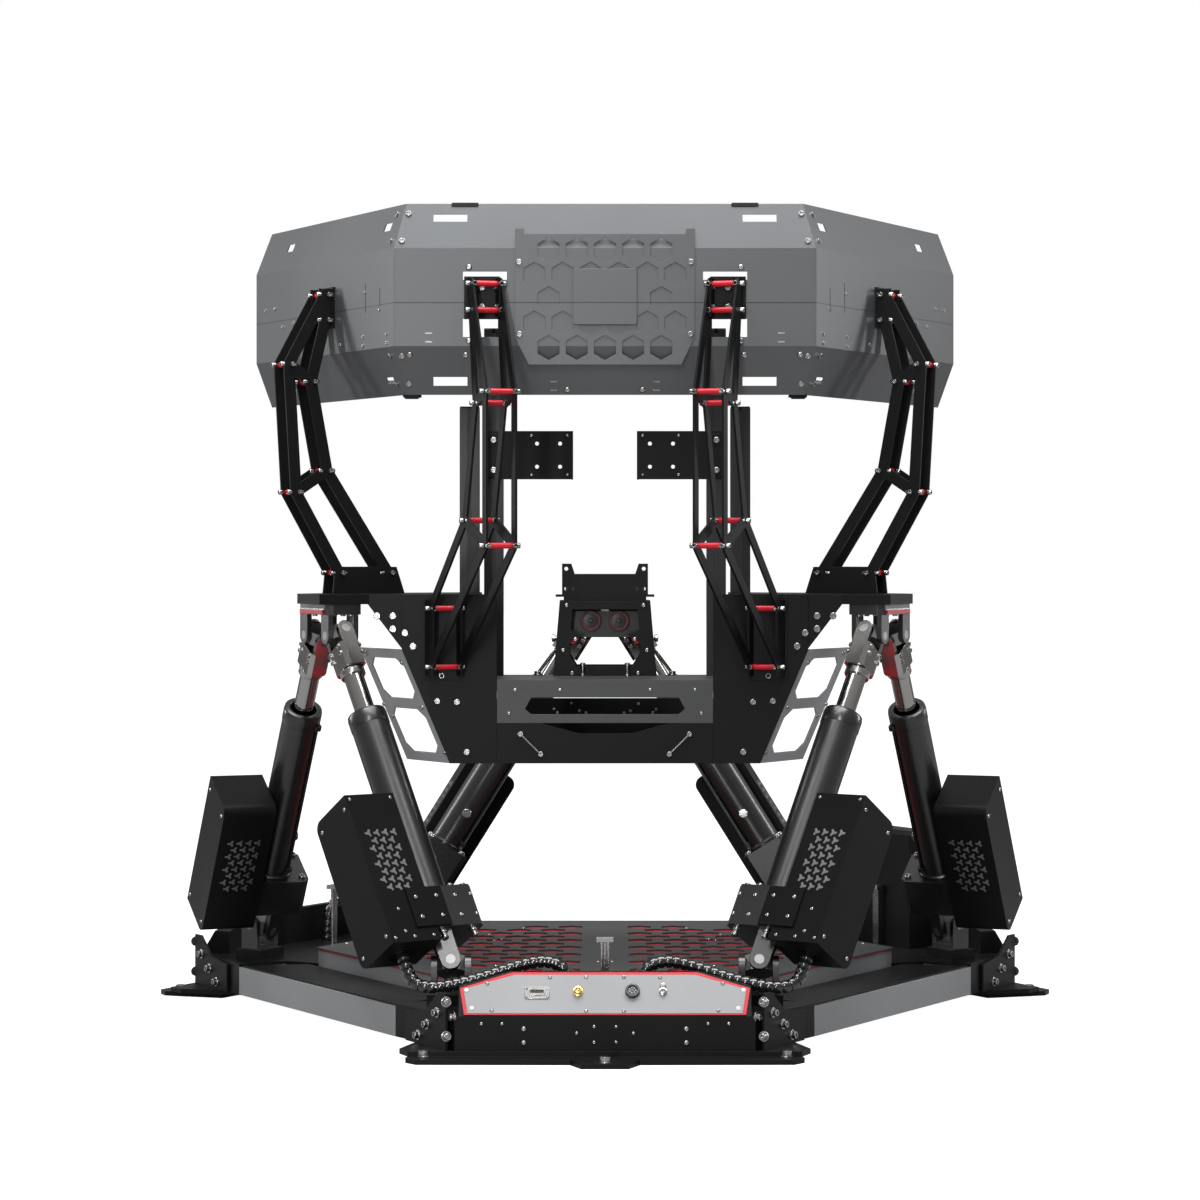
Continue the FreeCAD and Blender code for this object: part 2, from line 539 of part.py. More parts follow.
# Moving frame: corner arms, side walls, front skins, pan, cradle, posts and tower
def moving_frame():
    low = size.plate_low
    top = size.plate_top
    wall = size.wall_out
    vertex = polar(size.up_reach, 210)
    out = vertex * (1 + 60 / size.up_reach)
    arm = [Vector(out.x + 40, out.y - 75, low), Vector(out.x - 20, out.y + 40, low),
           Vector(out.x + 50, out.y + 120, low), Vector(-wall, -160, low), Vector(-wall, -size.pan_front, low),
           Vector(out.x + 150, -size.pan_front, low)]
    width = size.profile
    notch = block(-wall - width, -wall, -size.outer_post_y, -size.outer_post_y + width, low - 1, top + 1)
    arm_plate = prism(arm, UP * (top - low)).cut(notch)
    rib_front = prism([Vector(-wall, -size.pan_front, low), Vector(-wall, -size.pan_front, size.front_knee + 2),
                       Vector(-size.front_outer, -size.pan_front, size.front_knee + 2),
                       Vector(-540, -size.pan_front, low)], Vector(0, 8, 0))
    rib_back = prism([Vector(-wall, -240, low), Vector(-wall, -240, size.front_knee - 40),
                      Vector(-540, -240, low)], Vector(0, 8, 0))
    half = size.spine_half
    end = size.up_reach + 50
    spine = block(-half, half, -size.tower_front + size.tower_deep, end - 140, size.tower_top - size.spine_thick,
                  size.tower_top)
    flare = prism([Vector(-half, end - 260, low), Vector(half, end - 260, low), Vector(half + 42, end - 90, low),
                   Vector(half + 42, end, low), Vector(-half - 42, end, low), Vector(-half - 42, end - 90, low)],
                  UP * (top - low))
    left = [arm_plate, rib_front, rib_back]
    group("corner_arms", left + [mirrored(shape) for shape in left] + [spine.fuse(flare).removeSplitter()])

    skin = size.skin
    side = block(-wall, -wall + size.wall_thick, -size.pan_front + skin, size.pan_back, size.pan_low + skin,
                 low)
    window = block(-wall - 1, -wall + size.wall_thick + 1, -120, 120, size.pan_low + 80, size.cross_top + 40)

    front = -size.pan_front - skin
    skin_outline = [Vector(-size.front_inner, front, size.pan_low), Vector(-size.front_foot, front, size.pan_low),
                    Vector(-size.front_outer, front, size.front_knee), Vector(-size.front_outer, front, top),
                    Vector(-size.front_inner, front, top)]
    both("cockpit_walls", [side.cut(window), prism(skin_outline, Vector(0, skin, 0))])

    # Panels that fold back from the skins' slanted edge, two windows each
    corner = Vector(-size.front_outer, -size.pan_front, size.front_knee)
    across = Vector(-106, 155, 0)
    down = Vector(size.front_outer - size.front_foot, 0, size.pan_low - size.front_knee)
    normal = unit(across.cross(down))

    def window_loop(u0, u1, v0, v1):
        cut = 0.12
        marks = [(u0 + cut, v0), (u1 - cut, v0), (u1, v0 + cut * 0.6), (u1, v1 - cut * 0.6), (u1 - cut, v1),
                 (u0 + cut, v1), (u0, v1 - cut * 0.6), (u0, v0 + cut * 0.6)]
        return [corner + across * u + down * v - normal * 20 for u, v in marks]

    sheet_outline = [corner, corner + across, corner + across + down, corner + down]
    panel = prism(sheet_outline, normal * -4)
    for u0, u1, v0, v1 in ((0.12, 0.88, 0.08, 0.44), (0.12, 0.88, 0.53, 0.92)):
        panel = panel.cut(prism(window_loop(u0, u1, v0, v1), normal * 40))
    both("window_panels", [panel])

    # Pan under the cockpit with a turned-up front edge
    pan = block(-size.front_foot + 2, size.front_foot - 2, -size.pan_front, size.pan_back, size.pan_low,
                size.pan_low + skin)
    lip_top = size.pan_low + 92
    lip = [Vector(-size.front_inner + 0.3, front, size.pan_low), Vector(size.front_inner - 0.3, front, size.pan_low),
           Vector(size.front_inner - 0.3, front, lip_top), Vector(150, front, lip_top),
           Vector(60, front, lip_top - 24), Vector(-60, front, lip_top - 24), Vector(-150, front, lip_top),
           Vector(-size.front_inner + 0.3, front, lip_top)]
    back = block(-wall + 6, wall - 6, size.pan_back - skin, size.pan_back, size.pan_low, size.pan_low + 120)
    pan = pan.fuse([prism(lip, Vector(0, skin, 0)), back])
    feature("floor_pan", pan.removeSplitter())

    # Cradle between the walls: a cross table over a slotted front frame
    inner = wall - size.wall_thick
    table_low = size.cross_top - size.cross_thick
    table = block(-inner, inner, -size.pan_front, -size.pan_front + size.cross_deep, table_low, size.cross_top)
    table = table.cut(block(-inner + 40, inner - 40, -size.pan_front + 20, -size.pan_front + size.cross_deep - 20,
                            table_low - 1, size.cross_top - 6))
    nose = block(-size.front_inner + 0.3, size.front_inner - 0.3, front, -size.pan_front, table_low - 72,
                 size.cross_top)
    slot = prism([Vector(-168, front - 1, table_low - 14), Vector(-182, front - 1, table_low - 40),
                  Vector(-168, front - 1, table_low - 52), Vector(168, front - 1, table_low - 52),
                  Vector(182, front - 1, table_low - 40), Vector(168, front - 1, table_low - 14)],
                 Vector(0, skin + 2, 0))
    feature("cradle_table", table.fuse(nose.cut(slot)).removeSplitter())

    # Extrusion posts on both faces of each wall
    groove = 8
    deep = 6

    def post(x, y, foot, head):
        solid = block(x, x + width, y, y + width, foot, head)
        centre_x = x + width / 2
        centre_y = y + width / 2
        half_g = groove / 2
        for cutter in (block(centre_x - half_g, centre_x + half_g, y - 1, y + deep, foot - 1, head + 1),
                       block(centre_x - half_g, centre_x + half_g, y + width - deep, y + width + 1, foot - 1, head + 1),
                       block(x - 1, x + deep, centre_y - half_g, centre_y + half_g, foot - 1, head + 1),
                       block(x + width - deep, x + width + 1, centre_y - half_g, centre_y + half_g, foot - 1, head + 1)):
            solid = solid.cut(cutter)
        return solid

    outer_post = post(-wall - width, -size.outer_post_y, size.pan_low + skin, size.outer_post_top)
    inner_post = post(-wall + size.wall_thick, -size.inner_post_y, size.cross_top, size.inner_post_top)
    both("cockpit_posts", [inner_post, outer_post])


def tower():
    y0 = -size.tower_front
    y1 = y0 + size.tower_deep
    foot = size.cross_top
    top = size.tower_top
    wide = size.tower_foot
    slim = size.tower_head
    outline = [Vector(-wide, y0, foot), Vector(wide, y0, foot), Vector(slim, y0, top), Vector(-slim, y0, top)]
    solid = prism(outline, Vector(0, size.tower_deep, 0))
    t = size.skin
    hollow = [Vector(-wide + t, y0 - 1, foot - 1), Vector(wide - t, y0 - 1, foot - 1),
              Vector(slim - t, y0 - 1, top - t), Vector(-slim + t, y0 - 1, top - t)]
    core = prism(hollow, Vector(0, size.tower_deep + 2, 0))
    shell = solid.cut(core)
    lower = [Vector(-82, 0, foot + 48), Vector(-66, 0, foot + 22), Vector(66, 0, foot + 22),
             Vector(82, 0, foot + 48), Vector(82, 0, foot + 76), Vector(48, 0, foot + 100),
             Vector(-48, 0, foot + 100), Vector(-82, 0, foot + 76)]
    upper = [Vector(-76, 0, top - 20), Vector(-80, 0, top - 66), Vector(-66, 0, top - 76),
             Vector(66, 0, top - 76), Vector(80, 0, top - 66), Vector(76, 0, top - 20)]
    fill = [Vector(-wide + t, 0, foot), Vector(wide - t, 0, foot), Vector(slim - t, 0, top - t),
            Vector(-slim + t, 0, top - t)]
    for y, holes in ((y0, (lower, upper)), (y1 - t, (lower,))):
        face = prism([point + Vector(0, y, 0) for point in fill], Vector(0, t, 0))
        for hole in holes:
            face = face.cut(prism([point + Vector(0, y - 1, 0) for point in hole], Vector(0, t + 2, 0)))
        shell = shell.fuse(face)
    feature("tower", shell.removeSplitter())

    # Head bracket on the tower, with two ears and six bolt holes
    half = size.head_half
    ear = 22
    low = top + 14
    loop = [(-half, low), (half, low), (half, size.head_hole_high + 12), (half - ear, size.head_hole_high + 12),
            (half - ear - 8, size.head_hole_high - 12), (-half + ear + 8, size.head_hole_high - 12),
            (-half + ear, size.head_hole_high + 12), (-half, size.head_hole_high + 12)]
    radius = size.head_hole / 2
    holes = []
    for sign in (-1, 1):
        holes.append((sign * size.head_hole_x, size.head_hole_low, radius))
        holes.append((sign * size.head_hole_x, size.head_hole_high, radius))
        holes.append((sign * (size.head_hole_x - 16), size.head_hole_low, radius))
    plate = plate_body("head_plate", [loop], "sizes.wheel_thick", holes)
    plate.Placement = Placement(Vector(0, y0 + 40, 0), Rotation(Vector(1, 0, 0), 90))
    doc.recompute()
    flange = block(-half - 15, half + 15, y0 + 35, y0 + 95, low - 5, low)
    stem = block(-half + 4, half - 4, y0 + 35, y0 + 95, top, low - 5)
    feature("head_bracket", plate.Shape.fuse([flange, stem]).removeSplitter())


def wheel_brackets():
    y = -size.inner_post_y - size.wheel_thick
    x0 = -size.wall_out + size.wall_thick + 4
    half = size.wheel_tall / 2
    radius = size.wheel_hole / 2
    plate = block(x0, -size.wheel_end, y, y + size.wheel_thick, size.wheel_high - half, size.wheel_high + half)
    flange = block(-size.wheel_end - size.wheel_thick, -size.wheel_end, y, y + 62, size.wheel_high - half,
                   size.wheel_high + half)
    for column in (0, 1):
        for row in (-1, 1):
            x = -size.wheel_hole_x + column * size.wheel_step
            z = size.wheel_high + row * size.wheel_step / 2
            hole = Part.makeCylinder(radius, size.wheel_thick + 2, Vector(x, y - 1, z), Vector(0, 1, 0))
            plate = plate.cut(hole)
    both("wheelbase_brackets", [plate.fuse(flange).removeSplitter()])


# Folded screen shroud: one front panel and two long sides, mitred at the folds
def shroud():
    turn = math.radians(size.shroud_turn)
    back = Vector(-math.cos(turn), math.sin(turn), 0)
    inward = Vector(math.sin(turn), math.cos(turn), 0)
    mitre = Vector(0, 1, 0) + inward
    mitre = mitre * (1 / mitre.y)
    recess = size.shroud_recess
    t = size.shroud_skin
    outer = [(recess, size.shroud_low), (0, size.shroud_crease), (0, size.shroud_brow), (recess, size.shroud_top)]
    profile = outer + [(depth + t, height) for depth, height in reversed(outer)]
    fold = Vector(-size.shroud_fold, -size.shroud_front, 0)
    end = fold + back * size.shroud_side
    at_fold = [fold + mitre * depth + UP * height for depth, height in profile]
    at_end = [end + inward * depth + UP * height for depth, height in profile]
    at_right = [Vector(-point.x, point.y, point.z) for point in at_fold]

    def sheet_between(first, second):
        faces = [Part.Face(Part.makePolygon(first + [first[0]])), Part.Face(Part.makePolygon(second + [second[0]]))]
        for k in range(len(first)):
            n = (k + 1) % len(first)
            faces.append(Part.Face(Part.makePolygon([first[k], first[n], second[n], second[k], first[k]])))
        solid = Part.makeSolid(Part.makeShell(faces))
        if solid.Volume < 0:
            solid.reverse()
        return solid

    centre = sheet_between(at_fold, at_right)
    y0 = -size.shroud_front - 5
    y1 = -size.shroud_front + recess + 20
    slots = [(-379, -304, 1812, 1828), (-379, -304, 1450, 1469)]
    windows = [(-313, -216, 1682, 1700), (-313, -216, 1556, 1596)]
    for x0, x1, z0, z1 in slots + windows:
        for a, b in ((x0, x1), (-x1, -x0)):
            centre = centre.cut(block(a, b, y0, y1, z0, z1))
    feature("shroud_centre", centre)
    side = sheet_between(at_end, at_fold)
    for along in (92, 747):
        for z in (1805, 1462):
            spot = fold + back * along
            cutter = block(-22, 22, -30, 70, -9, 9)
            cutter.Placement = Placement(Vector(spot.x, spot.y, z), Rotation(back, inward, UP, "ZXY"))
            side = side.cut(cutter)
    both("shroud_sides", [side])
    return fold, back, inward


# Honeycomb plate on the front of the shroud, with a blank badge in the middle
def grille():
    half = size.grille_half
    low = size.grille_low
    top = size.grille_top
    foot = half - 34
    loop = [(-foot, low), (foot, low), (half - 4, low + 60), (half - 4, top), (half - 24, top),
            (half - 24, top - 12), (-half + 24, top - 12), (-half + 24, top), (-half + 4, top), (-half + 4, low + 60)]
    loops = [loop]
    centre_z = size.grille_middle
    pitch = size.grille_pitch
    for row in range(-2, 3):
        count = 5 + abs(row) % 2
        z = centre_z + row * pitch * math.sqrt(3) / 2
        for column in range(count):
            x = (column - (count - 1) / 2) * pitch
            badge = abs(x) < 70 and abs(z - centre_z) < 40
            if not badge:
                loops.append(hexagon(x, z, size.grille_flats))
    body = plate_body("grille_sheet", loops, "sizes.shroud_skin")
    body.Placement = Placement(Vector(0, -size.shroud_front, 0), Rotation(Vector(1, 0, 0), 90))
    badge_loop = [(-66, centre_z - 54), (66, centre_z - 54), (66, centre_z + 54), (-66, centre_z + 54)]
    badge = plate_body("badge_sheet", [badge_loop], "sizes.shroud_skin")
    badge.Placement = Placement(Vector(0, -size.shroud_front - size.shroud_skin, 0), Rotation(Vector(1, 0, 0), 90))
    doc.recompute()
    group("grille_plate", [body.Shape, badge.Shape])


# Truss arm: two flat plates joined by red spacers
def truss_plate(marks, links, foot):
    """Flat truss in the XZ plane, from rounded bars between marks and a solid foot."""
    width = size.truss_wide
    thick = size.truss_thick
    solids = [prism([Vector(x, 0, z) for x, z in foot], Vector(0, thick, 0))]
    for first, second in links:
        a = Vector(marks[first][0], 0, marks[first][1])
        b = Vector(marks[second][0], 0, marks[second][1])
        along = unit(b - a)
        across = Vector(-along.z, 0, along.x) * (width / 2)
        solids.append(prism([a + across, b + across, b - across, a - across], Vector(0, thick, 0)))
    for x, z in marks.values():
        solids.append(Part.makeCylinder(width / 2, thick, Vector(x, 0, z), Vector(0, 1, 0)))
    return solids[0].fuse(solids[1:]).removeSplitter()


def arm(marks, links, foot, origin, along):
    """Both plates of an arm and its spacers, in the upright plane through origin along along."""
    place = Placement(origin, Rotation(along, UP.cross(along), UP, "ZXY"))
    plate = truss_plate(marks, links, foot)
    half = size.truss_gap / 2
    plates = []
    for start in (-half - size.truss_thick, half):
        copy = plate.copy()
        copy.translate(Vector(0, start, 0))
        copy.Placement = place.multiply(copy.Placement)
        plates.append(copy)
    spacers = []
    for x, z in marks.values():
        spacer = Part.makeCylinder(size.spacer_od / 2, size.truss_gap, Vector(x, -half, z), Vector(0, 1, 0))
        spacer.Placement = place.multiply(spacer.Placement)
        spacers.append(spacer)
    return plates, spacers


def arms(fold, back, inward):
    links = [("foot_out", "knee_out"), ("foot_in", "knee_in"), ("knee_out", "knee_in"),
             ("knee_out", "crest_out"), ("knee_in", "crest_in"), ("crest_out", "crest_in"),
             ("crest_out", "head_up"), ("crest_in", "head_low"), ("head_up", "head_low")]
    front_face = -size.pan_front - size.skin - 5
    origin = Vector(-371, front_face, 0)
    along = unit(Vector(0.3597, -0.933, 0))
    slope = -along.y
    seat = 22
    head = (size.shroud_front + size.head_stand + front_face) / slope
    marks = {"foot_out": (seat, 820), "foot_in": (seat, 953), "knee_out": (396, 1097),
             "knee_in": (262, 1152), "crest_out": (396, 1432), "crest_in": (332, 1409),
             "head_up": (head, 1672), "head_low": (head, 1614)}
    foot = [(-20, 800), (seat + 20, 800), (seat + 20, 973), (-20, 973)]
    plates, spacers = arm(marks, links, foot, origin, along)
    behind = block(-900, 0, front_face, 0, 0, size.shroud_low)
    web_face = -size.shroud_front - size.truss_thick
    plates = [plate.cut([behind, block(-900, 0, web_face, 0, size.shroud_crease, size.shroud_top)])
              for plate in plates]
    flange = block(-371 - 44, -371 + 44, front_face, front_face + 5, 790, 980)
    front_parts = plates + [flange]

    # Side arms stand on the corner arms and reach out to the shroud's long sides
    distance = 413
    seat_point = fold + back * distance
    top = size.plate_top
    side_marks = {"foot_out": (10, 1032), "foot_in": (130, 1032), "knee_out": (-95, 1218), "knee_in": (-20, 1267),
                  "crest_out": (-112, 1510), "crest_in": (-58, 1471),
                  "head_up": (-size.head_stand, 1671), "head_low": (-size.head_stand, 1613)}
    foot = [(-6, top), (170, top), (150, 1046), (0, 1046)]
    side_plates, side_spacers = arm(side_marks, links, foot, seat_point, inward)
    both("shroud_arms", front_parts + side_plates)
    both("arm_spacers", spacers + side_spacers)

    # Brackets that bolt the arm heads to the shroud: a flat web and two cheeks in line with the arm
    half = size.truss_gap / 2
    t = size.truss_thick
    heads = [side_marks["head_up"][1], side_marks["head_low"][1]]
    stand = size.head_stand

    def bracket(place, reach):
        cheeks = []
        for start in (-half, half - t):
            cheek = block(-reach - 14, 30, start, start + t, min(heads) - 14, max(heads) + 14)
            for height in heads:
                cheek = cheek.cut(Part.makeCylinder(size.spacer_od / 2 + 1, t + 2,
                                                    Vector(-reach, start - 1, height), Vector(0, 1, 0)))
            cheek.Placement = place.multiply(cheek.Placement)
            cheeks.append(cheek)
        return cheeks

    reach = stand / slope
    spot = origin + along * (head - reach)
    front_place = Placement(Vector(spot.x, spot.y, 0), Rotation(along * -1, UP.cross(along) * -1, UP, "ZXY"))
    solid = block(-900, 0, web_face, 0, 0, 2000)
    cheeks = [cheek.cut(solid) for cheek in bracket(front_place, reach)]
    web_half = half / slope + 6
    web = block(spot.x - web_half, spot.x + web_half, web_face, -size.shroud_front, min(heads) - 18,
                max(heads) + 18)
    front_bracket = web.fuse(cheeks).removeSplitter()
    side_place = Placement(seat_point, Rotation(inward, UP.cross(inward), UP, "ZXY"))
    web = block(-t, 0, -half, half, min(heads) - 18, max(heads) + 18)
    web.Placement = side_place.multiply(web.Placement)
    solid = block(-t, 200, -200, 200, 0, 2000)
    solid.Placement = side_place.multiply(solid.Placement)
    cheeks = [cheek.cut(solid) for cheek in bracket(side_place, stand)]
    side_bracket = web.fuse(cheeks).removeSplitter()
    both("arm_brackets", [front_bracket, side_bracket])


# Conduits: straight runs with tangent arcs
def conduit(label, route):
    points = [Vector(*point) for point in route]
    runs = [(b - a).Length for a, b in zip(points, points[1:])]
    edges = []
    start = points[0]
    radii = []
    for k in range(1, len(points) - 1):
        before = unit(points[k] - points[k - 1])
        after = unit(points[k + 1] - points[k])
        turn = before.getAngle(after)
        trim = 0.45 * min(runs[k - 1], runs[k])
        radii.append(trim / math.tan(turn / 2))
        first = points[k] - before * trim
        last = points[k] + after * trim
        bend = unit(after - before)
        middle = points[k] + bend * (radii[-1] / math.cos(turn / 2) - radii[-1])
        edges.append(Part.LineSegment(start, first).toShape())
        edges.append(Part.Arc(first, middle, last).toShape())
        start = last
    edges.append(Part.LineSegment(start, points[-1]).toShape())
    path = Part.Wire(edges)
    circle = Part.Circle(points[0], points[1] - points[0], size.conduit_od / 2)
    section = Part.Wire([circle.toShape()])
    tube = path.makePipeShell([section], True, False)
    expected = math.pi * (size.conduit_od / 2) ** 2 * path.Length
    print("%s: length %.0f, least radius %.0f, volume ratio %.4f"
          % (label, path.Length, min(radii), tube.Volume / expected))
    feature(label, tube)


def conduits():
    left = [(-447, -806, 225), (-430, -827, 181), (-412, -849, 148), (-366, -857, 142), (-310, -854, 152),
            (-250, -846, 168), (-190, -838, 188), (-132, -840, 201), (-88, -846, 188), (-68, -850, 145),
            (-68, -850, size.corner_top)]
    conduit("conduit_left", left)
    conduit("conduit_right", [(-x, y, z) for x, y, z in left])
    turn = Rotation(UP, CORNERS[1] - CORNERS[0])
    conduit("conduit_rear_left", [tuple(turn.multVec(Vector(*point))) for point in left])


foot_plates()
deck(beams())
corners()
stop_posts()
cabinet()
all_legs = leg_layout()
for index, entry in enumerate(all_legs, start=1):
    leg(index, entry)
yokes(all_legs)
moving_frame()
tower()
wheel_brackets()
arms(*shroud())
grille()
conduits()
doc.recompute()

# The origin goes under the middle of the whole outline
whole = FreeCAD.BoundBox()
for node in nodes:
    whole.add(node.Shape.BoundBox)
shift = Placement(Vector(0, -(whole.YMin + whole.YMax) / 2, 0), Rotation())
for node in nodes:
    node.Placement = shift.multiply(node.Placement)
doc.recompute()

for obj in doc.Objects:
    if "Invalid" in obj.State or "Error" in obj.State:
        raise RuntimeError("failed object: " + obj.Label)
for node in nodes:
    if node.Shape.isNull() or not node.Shape.isValid():
        raise RuntimeError("bad shape: " + node.Label)
for node in nodes:
    node.Shape.exportStep("parts/%s.step" % node.Label)
print("nodes", len(nodes), "shift", shift.Base.y, "box", whole)
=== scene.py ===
import json
import math

import bmesh
import bpy
from bpy.props import FloatProperty, FloatVectorProperty, IntProperty, PointerProperty
from mathutils import Matrix, Vector
from mathutils.bvhtree import BVHTree


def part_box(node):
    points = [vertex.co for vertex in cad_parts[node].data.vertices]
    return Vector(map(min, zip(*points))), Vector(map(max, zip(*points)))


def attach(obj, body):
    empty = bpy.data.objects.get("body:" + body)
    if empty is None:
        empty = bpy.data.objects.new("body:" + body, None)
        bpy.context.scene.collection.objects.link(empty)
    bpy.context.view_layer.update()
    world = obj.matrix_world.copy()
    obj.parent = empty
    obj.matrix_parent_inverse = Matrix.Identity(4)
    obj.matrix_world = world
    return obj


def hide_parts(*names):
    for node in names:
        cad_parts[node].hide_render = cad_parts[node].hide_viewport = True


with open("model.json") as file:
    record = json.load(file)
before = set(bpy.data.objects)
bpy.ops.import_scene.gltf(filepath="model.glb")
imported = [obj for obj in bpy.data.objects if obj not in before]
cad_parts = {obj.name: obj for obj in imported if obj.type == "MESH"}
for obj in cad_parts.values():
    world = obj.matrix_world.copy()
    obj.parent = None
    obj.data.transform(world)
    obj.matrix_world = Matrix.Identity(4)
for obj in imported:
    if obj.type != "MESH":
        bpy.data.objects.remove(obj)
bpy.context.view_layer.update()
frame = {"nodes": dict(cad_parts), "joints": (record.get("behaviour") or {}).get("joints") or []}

bl_info = {
    "name": "Six-Axis Motion Platform",
    "version": (1, 0, 0),
    "blender": (4, 5, 0),
    "location": "View3D > Sidebar > Platform",
    "description": "Finishes, fasteners, vents and conduits of a six-legged motion platform",
    "category": "Object",
}

MM = 0.001
X_WAY = (1, 0, 0)
Y_WAY = (0, 1, 0)
UP = (0, 0, 1)
DOWN = (0, 0, -1)
TO_VIEWER = (0, -1, 0)
LEGS = range(1, 7)
JOINTS = {joint["name"]: joint for joint in frame["joints"]}
LOW_PIVOTS = {k: Vector(JOINTS["lower_yaw_%d" % k]["pos_m"]) for k in LEGS}
HIGH_PIVOTS = {k: Vector(JOINTS["upper_yaw_%d" % k]["pos_m"]) for k in LEGS}
CENTRE = sum(LOW_PIVOTS.values(), Vector()) / len(LOW_PIVOTS)
CENTRE.z = 0

# The photograph's camera: how far it stands from the base's middle, its height and its lens
EYE = CENTRE + Vector((0, -8.7145, 1.131))
SENSOR_MM = 36
LENS_MM = 109.2
PHOTO_PX = 1200
FOCAL_PX = LENS_MM / SENSOR_MM * PHOTO_PX
AXIS_PX = (605, 530)

# Turns that carry the front corner's pieces to the three corners of the base
ROUND = [Matrix.Translation(CENTRE) @ Matrix.Rotation(math.radians(a), 4, "Z") @ Matrix.Translation(-CENTRE)
         for a in (0, 120, 240)]
MIRROR = Matrix.Scale(-1, 4, X_WAY)


# Places
def spot(x, y, z):
    """Point given in millimetres from the base's middle on the floor, Y away from the viewer."""
    return CENTRE + Vector((x, y, z)) * MM


def stand(point, normal, along=X_WAY):
    """Place whose Z axis is the normal and whose X axis lies nearest to along."""
    up = Vector(normal).normalized()
    side = Vector(along) - up * Vector(along).dot(up)
    if side.length < 0.01:
        side = Vector(UP) - up * up.z
    side.normalize()
    turn = Matrix((side, up.cross(side), up)).transposed()
    return Matrix.Translation(point) @ turn.to_4x4()


def look(px, py):
    """Direction of the camera's ray through a pixel of the photograph."""
    return Vector(((px - AXIS_PX[0]) / FOCAL_PX, 1, (AXIS_PX[1] - py) / FOCAL_PX)).normalized()


def skin_tree(node):
    """Search tree over a CAD node's faces."""
    if node not in skin_tree.made:
        mesh = frame["nodes"][node].data
        corners = [vertex.co.copy() for vertex in mesh.vertices]
        faces = [list(face.vertices) for face in mesh.polygons]
        skin_tree.made[node] = BVHTree.FromPolygons(corners, faces)
    return skin_tree.made[node]


skin_tree.made = {}


def cast(start, way, *nodes):
    """Place on the first face of the nodes that a ray meets."""
    best = None
    for node in nodes:
        point, normal, _, far = skin_tree(node).ray_cast(start, way)
        if point is not None and (best is None or far < best[2]):
            best = (point, normal, far)
    if best is None:
        raise RuntimeError("the ray from %s along %s meets none of %s" % (start, way, nodes))
    normal = best[1] if best[1].dot(way) < 0 else -best[1]
    return stand(best[0], normal)


def seat(px, py, *nodes):
    """Place on the nodes' surface behind a pixel of the photograph."""
    return cast(EYE, look(px, py), *nodes)


def shifted(place, x, y, z=0):
    """The place moved along its own axes, in millimetres."""
    return place @ Matrix.Translation((x * MM, y * MM, z * MM))


def with_twins(places):
    """The places and their mirror images across the middle."""
    return list(places) + [MIRROR @ place for place in places]


def at_corners(places):
    """The places at each of the three corners of the base."""
    return [turn @ place for turn in ROUND for place in places]


def leg_frame(k):
    """Place of a leg's lower pivot, Z up the tube and X outwards, and the hand of its front face."""
    low = LOW_PIVOTS[k]
    axis = (HIGH_PIVOTS[k] - low).normalized()
    face = Vector(UP) - axis * axis.z
    side = axis.cross(face).normalized()
    if side.dot(low - CENTRE) < 0:
        side = -side
    turn = Matrix((side, axis.cross(side), axis)).transposed()
    front = 1 if k % 2 else -1
    return Matrix.Translation(low) @ turn.to_4x4(), front


def on_leg(k, x, y, z, normal, along=UP):
    """Place in millimetres of a leg's own frame, where Y points to the face with the vents."""
    home, front = leg_frame(k)
    return home @ Matrix.Scale(front, 4, Y_WAY) @ stand(Vector((x, y, z)) * MM, normal, along)


def on_clamp(k, across, out, down, side):
    """Place on a broad face, side 1 or -1, of a rod's clamp, in millimetres from the upper pivot."""
    axis = (HIGH_PIVOTS[k] - LOW_PIVOTS[k]).normalized()
    fork = Vector(JOINTS["upper_tilt_%d" % k]["axis"]).normalized()
    face = axis.cross(fork) * side
    return stand(HIGH_PIVOTS[k] - axis * down * MM + fork * across * MM + face * out * MM, face, fork)


